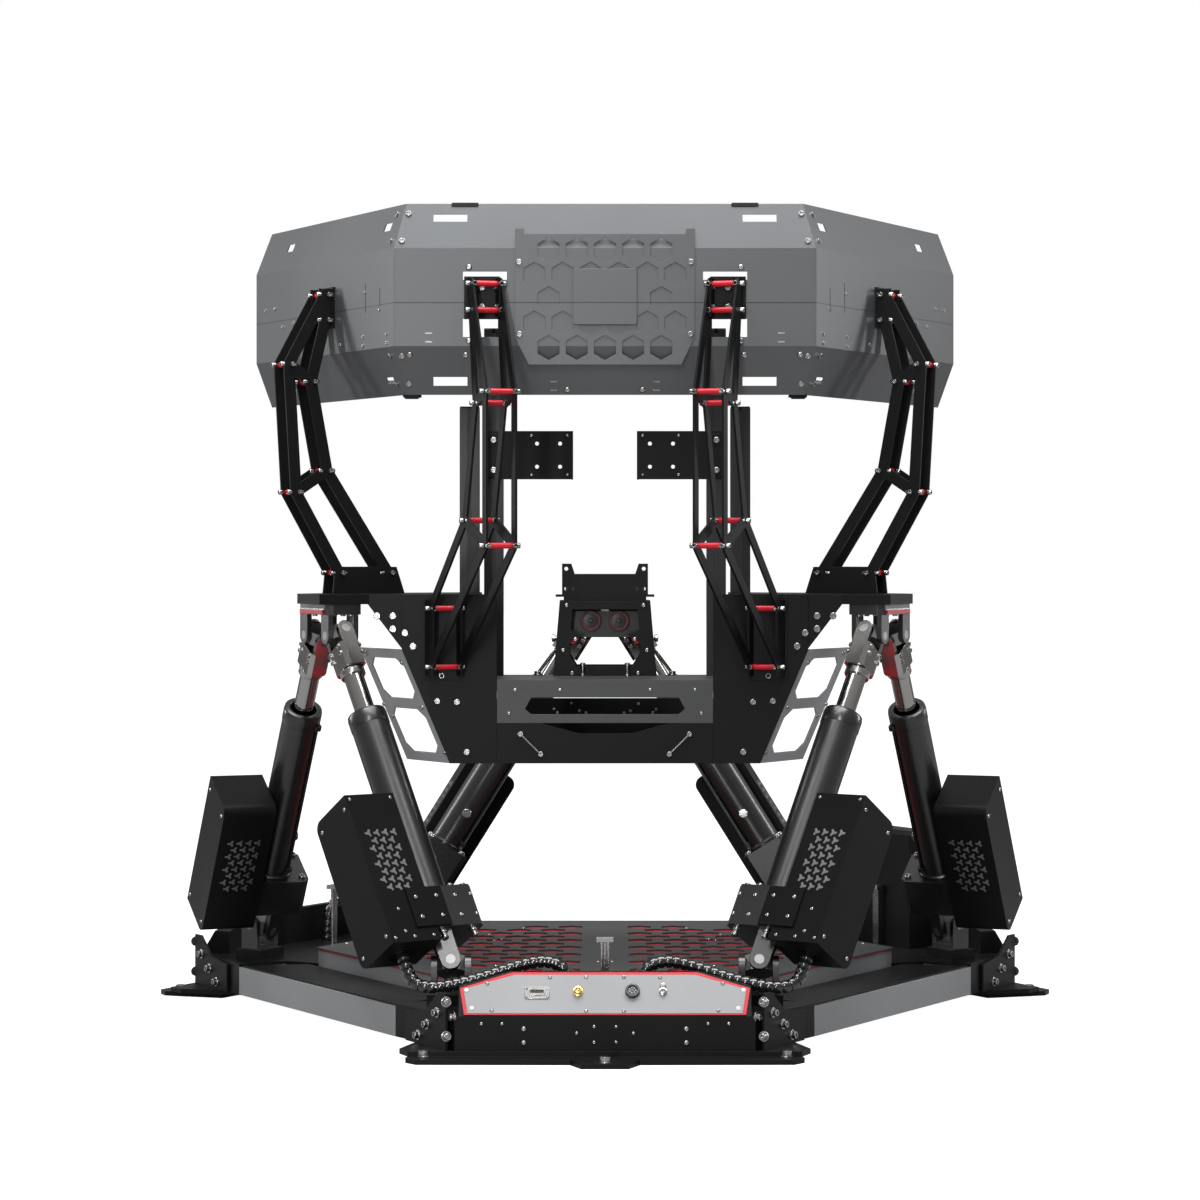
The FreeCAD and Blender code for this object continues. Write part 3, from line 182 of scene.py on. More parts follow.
# Mesh building
class Piece:
    """Collects the faces of one piece and makes it an object that rides on a body."""

    def __init__(self):
        self.mesh = bmesh.new()

    def ring(self, place, radius, height, sides, corners):
        """Ring of vertices, round or with the given number of corners."""
        made = []
        for k in range(sides):
            angle = 2 * math.pi * k / sides
            reach = radius
            if corners:
                step = 2 * math.pi / corners
                reach = radius / math.cos((angle + step / 2) % step - step / 2)
            point = Vector((reach * math.cos(angle), reach * math.sin(angle), height))
            made.append(self.mesh.verts.new(place @ point))
        return made

    def lathe(self, place, profile, sides=18):
        """Turns a profile of (radius, height[, corners]) in millimetres round the place's Z axis."""
        last = None
        for radius, height, *corners in profile:
            if radius:
                ring = self.ring(place, radius * MM, height * MM, sides, corners[0] if corners else 0)
            else:
                ring = [self.mesh.verts.new(place @ Vector((0, 0, height * MM)))]
            if last:
                self.join(last, ring)
            last = ring
        return self

    def join(self, first, second):
        """Faces between two rings, either of which may be a single point."""
        count = max(len(first), len(second))
        for k in range(count):
            n = (k + 1) % count
            if len(first) == 1:
                self.mesh.faces.new((first[0], second[n], second[k]))
            elif len(second) == 1:
                self.mesh.faces.new((first[k], first[n], second[0]))
            else:
                self.mesh.faces.new((first[k], first[n], second[n], second[k]))

    def plate(self, place, outline, low, high):
        """Pushes a closed outline of (x, y) in millimetres from low to high along the place's Z axis."""
        bottom = [self.mesh.verts.new(place @ (Vector((x, y, low)) * MM)) for x, y in outline]
        top = [self.mesh.verts.new(place @ (Vector((x, y, high)) * MM)) for x, y in outline]
        self.join(bottom, top)
        self.mesh.faces.new(bottom[::-1])
        self.mesh.faces.new(top)
        return self

    def slab(self, place, wide, deep, low, high, cut=0.0):
        """Rectangle with cut corners, pushed from low to high."""
        x, y = wide / 2, deep / 2
        outline = [(x, y), (-x, y), (-x, -y), (x, -y)]
        if cut:
            outline = [(x, y - cut), (x - cut, y), (cut - x, y), (-x, y - cut),
                       (-x, cut - y), (cut - x, -y), (x - cut, -y), (x, cut - y)]
        return self.plate(place, outline, low, high)

    def sweep(self, points, radii, sides=12):
        """Tube through points in metres, with a radius in metres at each point."""
        up = Vector(UP)
        last = None
        for k, point in enumerate(points):
            way = (points[min(k + 1, len(points) - 1)] - points[max(k - 1, 0)]).normalized()
            side = up.cross(way)
            side = side.normalized() if side.length > 0.05 else Vector(X_WAY)
            over = way.cross(side).normalized()
            ring = []
            for n in range(sides):
                angle = 2 * math.pi * n / sides
                out = side * math.cos(angle) + over * math.sin(angle)
                ring.append(self.mesh.verts.new(point + out * radii[k]))
            if last:
                self.join(last, ring)
            else:
                self.mesh.faces.new(ring[::-1])
            last = ring
        self.mesh.faces.new(last)
        return self

    def screws(self, places, radius, height, head="cap"):
        """Screw heads of a kind at each place, seated on the surface."""
        for place in places:
            self.lathe(place, HEADS[head](radius, height))
        return self

    def done(self, name, finish, body, bevel=0.0):
        """Makes the object, gives it its finish and lets it ride on the body."""
        bmesh.ops.recalc_face_normals(self.mesh, faces=self.mesh.faces)
        data = bpy.data.meshes.new(name)
        self.mesh.to_mesh(data)
        self.mesh.free()
        piece = bpy.data.objects.new(name, data)
        bpy.context.scene.collection.objects.link(piece)
        data.shade_smooth()
        data.set_sharp_from_angle(angle=math.radians(32))
        if bevel:
            edge = piece.modifiers.new("edge", "BEVEL")
            edge.width = bevel * MM
            edge.segments = 2
            edge.limit_method = "ANGLE"
            edge.angle_limit = math.radians(35)
        data.materials.append(finish_of(finish))
        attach(piece, body)
        return piece


# Profiles of fastener heads, each closed at both ends
def cap_head(radius, height):
    """Socket cap screw."""
    return [(0, -0.3), (radius, -0.3), (radius, height * 0.85), (radius * 0.88, height),
            (radius * 0.55, height, 6), (radius * 0.55, height * 0.4, 6), (0, height * 0.4)]


def button_head(radius, height):
    """Low domed socket screw."""
    return [(0, -0.3), (radius, -0.3), (radius * 0.97, height * 0.35), (radius * 0.8, height * 0.8),
            (radius * 0.58, height), (radius * 0.42, height, 6), (radius * 0.42, height * 0.45, 6),
            (0, height * 0.45)]


def washer_cap_head(radius, height):
    """Socket cap screw on a washer."""
    washer = [(0, -0.3), (radius * 1.45, -0.3), (radius * 1.45, 1.6), (radius * 1.38, 2), (radius, 2)]
    return washer + [(r, h + 2, *c) for r, h, *c in cap_head(radius, height)[2:]]


def hex_head(radius, height):
    """Hexagon bolt on a washer."""
    return [(0, -0.3), (radius * 1.35, -0.3), (radius * 1.35, 2), (radius, 2, 6), (radius, height, 6),
            (radius * 0.86, height + 1.2), (0, height + 1.2)]


def pan_head(radius, height):
    """Small screw with a round head and a shallow drive."""
    return [(0, -0.3), (radius, -0.3), (radius, height * 0.5), (radius * 0.7, height),
            (radius * 0.35, height), (radius * 0.25, height * 0.6), (0, height * 0.6)]


HEADS = {
    "cap": cap_head,
    "button": button_head,
    "washer": washer_cap_head,
    "hex": hex_head,
    "pan": pan_head,
}


# Shader expressions
class Value:
    """A shader socket that takes part in Python expressions."""

    def __init__(self, shader, socket):
        self.shader = shader
        self.socket = socket

    def math(self, operation, *others):
        sockets = dict(enumerate((self,) + others))
        return self.shader.add("ShaderNodeMath", {"operation": operation}, sockets)

    def __add__(self, other):
        return self.math("ADD", other)

    def __sub__(self, other):
        return self.math("SUBTRACT", other)

    def __rsub__(self, other):
        return self.shader.add("ShaderNodeMath", {"operation": "SUBTRACT"}, {0: other, 1: self})

    def __mul__(self, other):
        return self.math("MULTIPLY", other)

    def __lt__(self, other):
        return self.math("LESS_THAN", other)

    def __gt__(self, other):
        return self.math("GREATER_THAN", other)

    def __abs__(self):
        return self.math("ABSOLUTE")

    def clamped(self):
        """The value held between 0 and 1."""
        return self.math("MINIMUM", 1.0).math("MAXIMUM", 0.0)

    __radd__ = __add__
    __rmul__ = __mul__


class Shader:
    """The nodes of one finish, or of the sky when it is given one."""

    def __init__(self, sky=None, **fixed):
        self.owner = sky or bpy.data.materials.new("finish")
        self.owner.use_nodes = True
        self.tree = self.owner.node_tree
        self.surface = self.tree.nodes["Background" if sky else "Principled BSDF"]
        for socket, value in fixed.items():
            self.surface.inputs[socket.replace("_", " ")].default_value = value

    def add(self, kind, settings, sockets, out=0):
        """A node of that type, with its settings made first and then its sockets set or linked."""
        node = self.tree.nodes.new(kind)
        for key, value in settings.items():
            if key == "stops":
                ramp = node.color_ramp.elements
                while len(ramp) < len(value):
                    ramp.new(1.0)
                for stop, (position, shade) in zip(ramp, value):
                    stop.position = position
                    stop.color = (shade, shade, shade, 1)
            else:
                setattr(node, key, value)
        for key, value in sockets.items():
            self.feed(node.inputs[key], value)
        return Value(self, node.outputs[out])

    def feed(self, socket, value):
        if isinstance(value, Value):
            self.tree.links.new(value.socket, socket)
        else:
            socket.default_value = value

    def place(self):
        """Position in the piece's own space, which moves with it."""
        return self.add("ShaderNodeTexCoord", {}, {}, out=3)

    def axis(self, number):
        """One coordinate of that position."""
        return self.add("ShaderNodeSeparateXYZ", {}, {0: self.place()}, out=number)

    def noise(self, scale, detail=2.0, stretch=None):
        """Noise from 0 to 1, in features per metre, stretched along the axes if asked."""
        where = self.place()
        if stretch:
            where = self.add("ShaderNodeMapping", {}, {0: where, 3: stretch})
        return self.add("ShaderNodeTexNoise", {}, {"Vector": where, "Scale": scale, "Detail": detail})

    def rounded(self, radius):
        """The surface normal with its edges rounded off."""
        return self.add("ShaderNodeBevel", {"samples": 4}, {"Radius": radius * MM})

    def edges(self, soft):
        """1 on sharp edges and 0 on open faces."""
        flat = self.add("ShaderNodeNewGeometry", {}, {}, out=1)
        same = self.add("ShaderNodeVectorMath", {"operation": "DOT_PRODUCT"}, {0: soft, 1: flat}, out=1)
        return ((1 - same) * 5.0).clamped()

    def seen(self, direct, indirect):
        """One colour where the backdrop is seen directly and another where it lights or mirrors."""
        return self.mix(self.add("ShaderNodeLightPath", {}, {}, out=0), indirect, direct)

    def mix(self, factor, first, second):
        """Mix of two colours."""
        return self.add("ShaderNodeMix", {"data_type": "RGBA"}, {0: factor, 6: first, 7: second}, out=2)

    def bump(self, height, distance, normal):
        """Bump from a height, on top of a rounded normal."""
        settings = {"Strength": 1.0, "Distance": distance * MM, "Height": height, "Normal": normal}
        self.feed(self.surface.inputs["Normal"], self.add("ShaderNodeBump", {}, settings))

    def paint(self, colour, roughness):
        self.feed(self.surface.inputs["Base Color"], colour)
        self.feed(self.surface.inputs["Roughness"], roughness)
        return self.owner


def tint(colour, factor):
    """The colour made lighter or darker by a factor."""
    return (*(min(1.0, part * factor) for part in colour[:3]), 1.0)


# Finishes
def powder_coat(colour, roughness, peel=0.06, edge_highlight=2.2, **fixed):
    """Powder coat: orange peel, faint handling marks and sharp edges painted lighter as a highlight."""
    shader = Shader(**fixed)
    soft = shader.rounded(1.4)
    edge = shader.edges(soft)
    cloud = shader.noise(5.0, 4.0)
    grain = shader.noise(650.0, 1.0)
    base = shader.mix((cloud - 0.4) * 1.2, tint(colour, 0.88), tint(colour, 1.12))
    # The sharp edges are painted lighter as a highlight.
    base = shader.mix(edge * 0.6, base, tint(colour, edge_highlight))
    shader.bump(grain, peel, soft)
    return shader.paint(base, roughness + (cloud - 0.5) * 0.12 + (grain - 0.5) * 0.06)


def turned_metal(colour, roughness, lines=900.0, **fixed):
    """Bare metal with fine tool marks round its Z axis."""
    shader = Shader(Metallic=1.0, **fixed)
    soft = shader.rounded(0.8)
    marks = shader.noise(1.0, 3.0, (lines / 12, lines / 12, lines))
    cloud = shader.noise(9.0, 3.0)
    base = shader.mix(cloud, tint(colour, 0.8), tint(colour, 1.1))
    shader.bump(marks, 0.02, soft)
    return shader.paint(base, roughness + (marks - 0.5) * 0.16 + (cloud - 0.5) * 0.1)


def cast_metal(colour, roughness, **fixed):
    """Cast or machined alloy with a pebbled skin and edges painted bright as a highlight."""
    shader = Shader(Metallic=1.0, **fixed)
    soft = shader.rounded(1.6)
    edge = shader.edges(soft)
    pebble = shader.noise(260.0, 3.0)
    cloud = shader.noise(14.0, 4.0)
    base = shader.mix(cloud, tint(colour, 0.65), tint(colour, 1.15))
    # The sharp edges are painted bright as a highlight.
    base = shader.mix(edge * 0.7, base, tint(colour, 1.9))
    shader.bump(pebble, 0.12, soft)
    return shader.paint(base, roughness + (cloud - 0.5) * 0.25)


def moulded(colour, roughness, **fixed):
    """Moulded plastic with a fine spark-eroded texture."""
    shader = Shader(**fixed)
    soft = shader.rounded(0.6)
    spark = shader.noise(1500.0, 1.0)
    cloud = shader.noise(18.0, 2.0)
    base = shader.mix(cloud, tint(colour, 0.8), tint(colour, 1.25))
    shader.bump(spark, 0.03, soft)
    return shader.paint(base, roughness + (spark - 0.5) * 0.1)


def seamed_coat(colour, roughness, seam, **fixed):
    """The shroud's coat, with one thin joint line at a height and edges painted lighter as a highlight."""
    shader = Shader(**fixed)
    soft = shader.rounded(1.2)
    edge = shader.edges(soft)
    cloud = shader.noise(3.0, 4.0)
    grain = shader.noise(600.0, 1.0)
    line = abs(shader.axis(2) - seam) < 0.9 * MM
    base = shader.mix((cloud - 0.4) * 1.2, tint(colour, 0.92), tint(colour, 1.08))
    # The sharp edges are painted lighter as a highlight.
    base = shader.mix(edge * 0.5, base, tint(colour, 1.8))
    base = shader.mix(line * 0.85, base, tint(colour, 0.25))
    shader.bump(grain * 0.05 - line, 0.5, soft)
    return shader.paint(base, roughness + (cloud - 0.5) * 0.1 + (grain - 0.5) * 0.05)


# Colours of the coats, and the height in metres of the shroud's joint line
LIGHT_COAT = (0.36, 0.37, 0.385)
BEAM_COAT = (0.25, 0.257, 0.27)
PANEL_COAT = (0.325, 0.33, 0.338)
POST_COAT = (0.02, 0.021, 0.022)
BLACK = (0.007, 0.0073, 0.0078)
SHROUD_SEAM = 1.6315
FINISHES = {
    "black_coat": lambda: powder_coat(look_of().black, 0.42, Specular_IOR_Level=0.14),
    "grey_coat": lambda: powder_coat(look_of().grey, 0.44, edge_highlight=1.8),
    "shroud_coat": lambda: seamed_coat(look_of().shroud, 0.4, SHROUD_SEAM, Metallic=0.35),
    "unit_coat": lambda: powder_coat(look_of().unit, 0.4, Specular_IOR_Level=0.12),
    "tube_black": lambda: powder_coat(look_of().black, 0.3, 0.02, Specular_IOR_Level=0.8, Coat_Weight=0.1),
    "light_coat": lambda: powder_coat(LIGHT_COAT, 0.44, edge_highlight=1.5),
    "beam_coat": lambda: powder_coat(BEAM_COAT, 0.44, edge_highlight=1.5),
    "panel_grey": lambda: powder_coat(PANEL_COAT, 0.5, edge_highlight=1.3),
    "red_sheet": lambda: powder_coat(look_of().red, 0.4, edge_highlight=1.3),
    "red_anodised": lambda: powder_coat(look_of().red, 0.32, peel=0.01, edge_highlight=1.2),
    "black_anodised": lambda: powder_coat(POST_COAT, 0.34, peel=0.02, Metallic=0.4),
    "cast_grey": lambda: cast_metal((0.11, 0.11, 0.114), 0.36),
    "nickel": lambda: turned_metal((0.44, 0.43, 0.42), 0.24),
    "rod_chrome": lambda: turned_metal((0.46, 0.445, 0.43), 0.09, lines=1400.0),
    "conduit_plastic": lambda: moulded((0.01, 0.01, 0.01), 0.16, Coat_Weight=1.0, Coat_Roughness=0.04),
    "dial_red": lambda: moulded((0.1, 0.004, 0.006), 0.4),
    # Near-black sheet for dark joints, and painted shade standing in for the inside of slots.
    "socket_dark": lambda: moulded((0.004, 0.004, 0.004), 0.5),
    "brass": lambda: turned_metal((0.75, 0.52, 0.18), 0.25),
    "white_plastic": lambda: moulded((0.7, 0.7, 0.7), 0.4),
    "vent_steel": lambda: turned_metal((0.3, 0.3, 0.3), 0.4),
}

# Which finish each CAD node has
NODE_FINISH = {
    "black_coat": ("foot_plates", "beam_covers", "corner_housings", "control_cabinet", "corner_arms",
                   "cockpit_walls", "floor_pan", "tower", "head_bracket", "wheelbase_brackets",
                   "shroud_arms", "arm_brackets"),
    "grey_coat": ("deck_plate", "cradle_table"),
    "beam_coat": ("base_frame",),
    "light_coat": ("window_panels",),
    "shroud_coat": ("shroud_centre", "shroud_sides", "grille_plate"),
    "unit_coat": tuple("motor_unit_%d" % k for k in LEGS),
    "tube_black": tuple("cylinder_%d" % k for k in LEGS),
    "panel_grey": ("connector_panel",),
    "red_sheet": ("deck_underlay", "panel_trim"),
    "red_anodised": ("arm_spacers",),
    "black_anodised": ("cockpit_posts",),
    "cast_grey": ("lower_yokes", "upper_yokes"),
    "nickel": ("stop_posts",),
    "vent_steel": tuple("%s_cross_%d" % (end, k) for end in ("lower", "upper") for k in LEGS),
    "rod_chrome": tuple("rod_%d" % k for k in LEGS),
}


def finish_of(name):
    """The material of a finish, made once."""
    finished = name + "_finish"
    if finished not in bpy.data.materials:
        FINISHES[name]().name = finished
    return bpy.data.materials[finished]


def look_of():
    """The colours and light set for the scene."""
    return bpy.context.scene.platform_look


# Settings that a user would change
class PlatformLook(bpy.types.PropertyGroup):
    """Colours and light."""

    black: FloatVectorProperty(name="Black", description="Powder coat of frames and covers",
                               subtype="COLOR", default=BLACK)
    grey: FloatVectorProperty(name="Grey", description="Powder coat of the deck and the cradle table",
                              subtype="COLOR", default=(0.05, 0.0515, 0.053))
    shroud: FloatVectorProperty(name="Shroud", description="Coat of the screen shroud",
                                subtype="COLOR", default=(0.106, 0.111, 0.117))
    unit: FloatVectorProperty(name="Motor Units", description="Coat of the motor covers",
                              subtype="COLOR", default=(0.0048, 0.005, 0.0053))
    red: FloatVectorProperty(name="Red", description="Spacers, trim and deck sheet",
                             subtype="COLOR", default=(0.62, 0.008, 0.022))
    light: FloatProperty(name="Light", description="Strength of all studio lights", default=1.0, min=0.0,
                         subtype="FACTOR")


class PlatformConduit(bpy.types.PropertyGroup):
    """Sizes of the flexible conduits."""

    diameter: FloatProperty(name="Diameter", description="Outer diameter of a conduit", default=0.028,
                            unit="LENGTH")
    pitch: FloatProperty(name="Segment Pitch", description="Length of one conduit segment", default=0.0175,
                         unit="LENGTH")
    groove: FloatProperty(name="Groove", description="How much smaller a groove is across", default=0.006,
                          unit="LENGTH")
    sides: IntProperty(name="Sides", description="Faces round a conduit", default=20, min=8)


# Stage: half the floor's width in metres, and the colours seen directly and by reflected light
FLOOR_HALF = 40
FLOOR_COLOUR = (0.3, 0.3, 0.3, 1)
BACKDROP = (1, 1, 1, 1)
DIM = (0.05, 0.05, 0.05, 1)
# Light of the sky from straight down at 0 to straight up at 1, with the horizon at 0.5
SKY_STOPS = ((0.0, 0.1), (0.5, 0.22), (0.62, 0.3), (1.0, 0.45))
# Name, place and aim in metres from the base's middle, width, height and strength in watts
LIGHTS = (
    ("top_box", (0, -1.2, 5.2), (0, 0, 0.9), 4.5, 3.0, 330),
    ("front_box", (-0.5, -6.8, 5.0), (0, 0, 1.0), 0.8, 3.0, 150),
    ("front_strip", (-1.5, -7.6, 1.5), (0, 0, 0.9), 0.4, 3.4, 110),
    ("left_strip", (-4.4, 1.6, 2.4), (0, 0, 1.0), 0.5, 3.2, 70),
    ("right_strip", (4.4, 1.6, 2.4), (0, 0, 1.0), 0.5, 3.2, 70),
)


class PLATFORM_OT_stage(bpy.types.Operator):
    """Makes the camera, the floor and the studio lights."""

    bl_idname = "platform.stage"
    bl_label = "Stage"

    def execute(self, context):
        self.camera(context.scene)
        self.floor()
        self.world(context.scene)
        power = look_of().light
        for name, place, aim, wide, tall, strength in LIGHTS:
            self.light(name, CENTRE + Vector(place), CENTRE + Vector(aim), wide, tall, strength * power)
        return {"FINISHED"}

    def camera(self, scene):
        data = bpy.data.cameras.new("camera")
        data.sensor_width = SENSOR_MM
        data.lens = LENS_MM
        data.shift_x = (PHOTO_PX / 2 - AXIS_PX[0]) / PHOTO_PX
        data.shift_y = (AXIS_PX[1] - PHOTO_PX / 2) / PHOTO_PX
        camera = bpy.data.objects.new("camera", data)
        camera.location = EYE
        camera.rotation_euler = (math.radians(90), 0, 0)
        scene.collection.objects.link(camera)
        scene.camera = camera
        scene.view_settings.view_transform = "Standard"

    def floor(self):
        data = bpy.data.meshes.new("floor")
        corners = [(x * FLOOR_HALF, y * FLOOR_HALF, 0) for x, y in ((-1, -1), (1, -1), (1, 1), (-1, 1))]
        data.from_pydata(corners, [], [(0, 1, 2, 3)])
        floor = bpy.data.objects.new("floor", data)
        floor.location = CENTRE + Vector((0, 0, -0.2 * MM))
        bpy.context.scene.collection.objects.link(floor)
        shader = Shader(Roughness=0.9, Base_Color=FLOOR_COLOUR, Emission_Strength=1.0)
        shader.owner.name = "pale_floor"
        shader.feed(shader.surface.inputs["Emission Color"], shader.seen(BACKDROP, DIM))
        data.materials.append(shader.owner)

    def world(self, scene):
        """A white backdrop that lights the object only dimly, so that black coats keep their contrast."""
        world = bpy.data.worlds.new("studio")
        shader = Shader(sky=world)
        way = shader.add("ShaderNodeTexCoord", {}, {}, out=0)
        height = shader.add("ShaderNodeSeparateXYZ", {}, {0: way}, out=2)
        shade = shader.add("ShaderNodeValToRGB", {"stops": SKY_STOPS}, {0: height * 0.5 + 0.5})
        shader.feed(shader.surface.inputs["Color"], shader.seen(BACKDROP, shade))
        scene.world = world

    def light(self, name, place, aim, wide, tall, strength):
        data = bpy.data.lights.new(name, "AREA")
        data.shape = "RECTANGLE"
        data.size = wide
        data.size_y = tall
        data.energy = strength
        lamp = bpy.data.objects.new(name, data)
        lamp.location = place
        lamp.rotation_euler = (aim - place).to_track_quat("-Z", "Y").to_euler()
        bpy.context.scene.collection.objects.link(lamp)


# Conduits
# Route in millimetres from the base's middle, from the motor unit to the base's corner
CONDUIT_ROUTE = ((-447, -806, 225), (-430, -827, 181), (-412, -849, 148), (-366, -857, 142),
                 (-310, -854, 152), (-250, -846, 168), (-190, -838, 188), (-132, -840, 201),
                 (-88, -846, 188), (-68, -850, 145), (-68, -850, 95))
# How far each ring of a segment lies along it, and how far in from its full radius in millimetres
SEGMENT = ((0.2, 0.7), (0.34, 0), (0.82, 0), (0.96, 0.7))


class PLATFORM_OT_conduits(bpy.types.Operator):
    """Makes the segmented conduits between the motor units and the base."""

    bl_idname = "platform.conduits"
    bl_label = "Conduits"

    def execute(self, context):
        left = [spot(*point) for point in CONDUIT_ROUTE]
        self.conduit("conduit_left", left)
        self.conduit("conduit_right", [Vector((-point.x, point.y, point.z)) for point in left])
        self.conduit("conduit_rear_left", [ROUND[2] @ point for point in left])
        return {"FINISHED"}

    def line(self, name, route):
        """Points along the smooth curve that a route's points steer."""
        data = bpy.data.curves.new(name + "_line", "CURVE")
        data.dimensions = "3D"
        data.resolution_u = 24
        spline = data.splines.new("NURBS")
        spline.points.add(len(route) - 1)
        for steer, point in zip(spline.points, route):
            steer.co = (*point, 1)
        spline.order_u = 3
        spline.use_endpoint_u = True
        curve = bpy.data.objects.new(name + "_line", data)
        bpy.context.scene.collection.objects.link(curve)
        bpy.context.view_layer.update()
        mesh = bpy.data.meshes.new_from_object(curve.evaluated_get(bpy.context.evaluated_depsgraph_get()))
        points = [vertex.co.copy() for vertex in mesh.vertices]
        bpy.data.meshes.remove(mesh)
        bpy.data.objects.remove(curve)
        return points

    def conduit(self, name, route):
        sizes = bpy.context.scene.platform_conduit
        line = self.line(name, route)
        total = sum((b - a).length for a, b in zip(line, line[1:]))
        outer = sizes.diameter / 2
        inner = outer - sizes.groove / 2
        count = round(total / sizes.pitch)
        marks = []
        for k in range(count):
            start = k * total / count
            step = total / count
            marks += [(start, inner), (start + step * 0.16, inner)]
            marks += [(start + step * share, outer - less * MM) for share, less in SEGMENT]
        marks.append((total, inner))
        path = self.along(line, [far for far, _ in marks])
        piece = Piece()
        piece.sweep(path, [radius for _, radius in marks], sizes.sides)
        tube = piece.done(name + "_segments", "conduit_plastic", "base")
        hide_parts(name)

    def along(self, line, distances):
        """Points at the given distances along a line."""
        found = []
        walked = 0.0
        k = 0
        for far in distances:
            while k < len(line) - 2 and walked + (line[k + 1] - line[k]).length < far:
                walked += (line[k + 1] - line[k]).length
                k += 1
            step = (line[k + 1] - line[k]).length
            found.append(line[k].lerp(line[k + 1], min(1.0, (far - walked) / step)))
        return found


# Fasteners seated on the sheets
def twins_at_corners(places):
    """The places and their mirror images at each corner of the base."""
    return at_corners(with_twins(places))


def fasten(body, spread, rows):
    """Makes one piece of screws for each row, seated behind pixels of the photograph."""
    for name, finish, nodes, head, radius, height, marks in rows:
        places = spread([seat(px, py, *nodes) for px, py in marks])
        Piece().screws(places, radius, height, head).done(name, finish, body)


# Each row: name, finish, nodes that carry it, head, radius and height in millimetres, pixels
BASE_FASTENERS = (
    ("tie_plate_screws", "nickel", ("corner_housings", "base_frame"), "washer", 8, 9,
     ((446, 1002), (437, 1012.5), (453.4, 1017), (427, 1024), (418, 1034.7), (446, 1036.4))),
    ("lower_panel_screws", "nickel", ("corner_housings",), "button", 6, 3.5,
     ((523.7, 1029), (523.7, 1043))),
    ("lower_panel_pins", "nickel", ("corner_housings",), "pan", 3.6, 2.4,
     ((481.3, 1023.8), (501.9, 1023.8), (576.5, 1033.4), (594, 1026.8), (594, 1042.4))),
)
FOOT_BOLTS = ((-386, -970), (386, -970), (0, -1060))
FOOT_TOP = 11
DECK_TOP = 132
DECK_BOLTS = [(x, y) for x in (-250, -90, 90, 250) for y in (-575, -380)] + [(-16, -300), (16, -300)]
# Outline of a sheet painted dark as the shade of the slot behind each corner's panel, round its middle
DECK_SLOT = ((-82, -9), (82, -9), (66, 9), (24, 9), (16, 4), (-16, 4), (-24, 9), (-66, 9))


class PLATFORM_OT_base_fasteners(bpy.types.Operator):
    """Bolts the corner housings, the foot plates and the deck."""

    bl_idname = "platform.base_fasteners"
    bl_label = "Base Fasteners"

    def execute(self, context):
        fasten("base", twins_at_corners, BASE_FASTENERS)
        feet = at_corners([stand(spot(x, y, FOOT_TOP), UP) for x, y in FOOT_BOLTS])
        Piece().screws(feet, 12, 12, "hex").done("foot_bolts", "nickel", "base")
        self.deck()
        return {"FINISHED"}

    def deck(self):
        """Centre seam, cable slots as sheets painted dark as their shade, and small bolts of the deck."""
        seams = Piece()
        slots = Piece()
        bolts = Piece()
        for turn in ROUND:
            seams.slab(turn @ stand(spot(0, -440, DECK_TOP), UP), 3, 300, 0, 0.6)
            # A sheet painted dark stands in for the shade inside the slot.
            slots.plate(turn @ stand(spot(0, -556, DECK_TOP), UP), DECK_SLOT, 0, 0.8)
            bolts.screws([turn @ stand(spot(x, y, DECK_TOP), UP) for x, y in DECK_BOLTS], 4, 3, "pan")
        seams.done("deck_seams", "socket_dark", "base")
        slots.done("deck_slot_shade", "socket_dark", "base")
        bolts.done("deck_bolts", "nickel", "base")


# Connector panel: pixels of its screws, plugs and sockets, and the sockets' profiles in millimetres
PANEL_SCREWS = ((550, 977.3), (586.1, 977), (487.3, 983.6), (491.6, 1010.5), (586.1, 1010.8))
PANEL_DISCS = ((466.4, 990), (471.7, 1008.2))
PLUG = ((0, -0.3), (4.8, -0.3), (4.8, 0.9), (4.2, 1.5), (0, 1.5))
MAINS_PX = (537, 993)
AERIAL_PX = (578, 992)
AERIAL = ((0, -0.3), (10.5, -0.3, 6), (10.5, 3.5, 6), (8.4, 4), (8.4, 7), (7.4, 7.6), (7.4, 9),
          (8.2, 9.4), (8.2, 12), (5.2, 12.4), (5.2, 8), (2.2, 8), (2, 11.4), (0, 11.8))
ROUND_PX = (632.5, 992)
ROUND_SOCKET = ((0, 2), (15, 2), (15.4, 3), (15.4, 9), (14, 10), (11.5, 10), (11.2, 5), (0, 5))
PIN = ((0, 4.6), (1.3, 4.6), (1.3, 8.6), (0, 9.2))
PIN_CIRCLE = 6.6
PINS_ROUND = 7
NETWORK_PX = (663, 992)
NETWORK = ((0, -0.3), (8.5, -0.3, 6), (8.5, 3, 6), (7.2, 3.4), (7.2, 8), (4.6, 8.4), (4.4, 4), (0, 4))
NETWORK_CAP = ((0, -0.3), (6.5, -0.3), (6.8, 3), (5.4, 6), (0, 6.4))


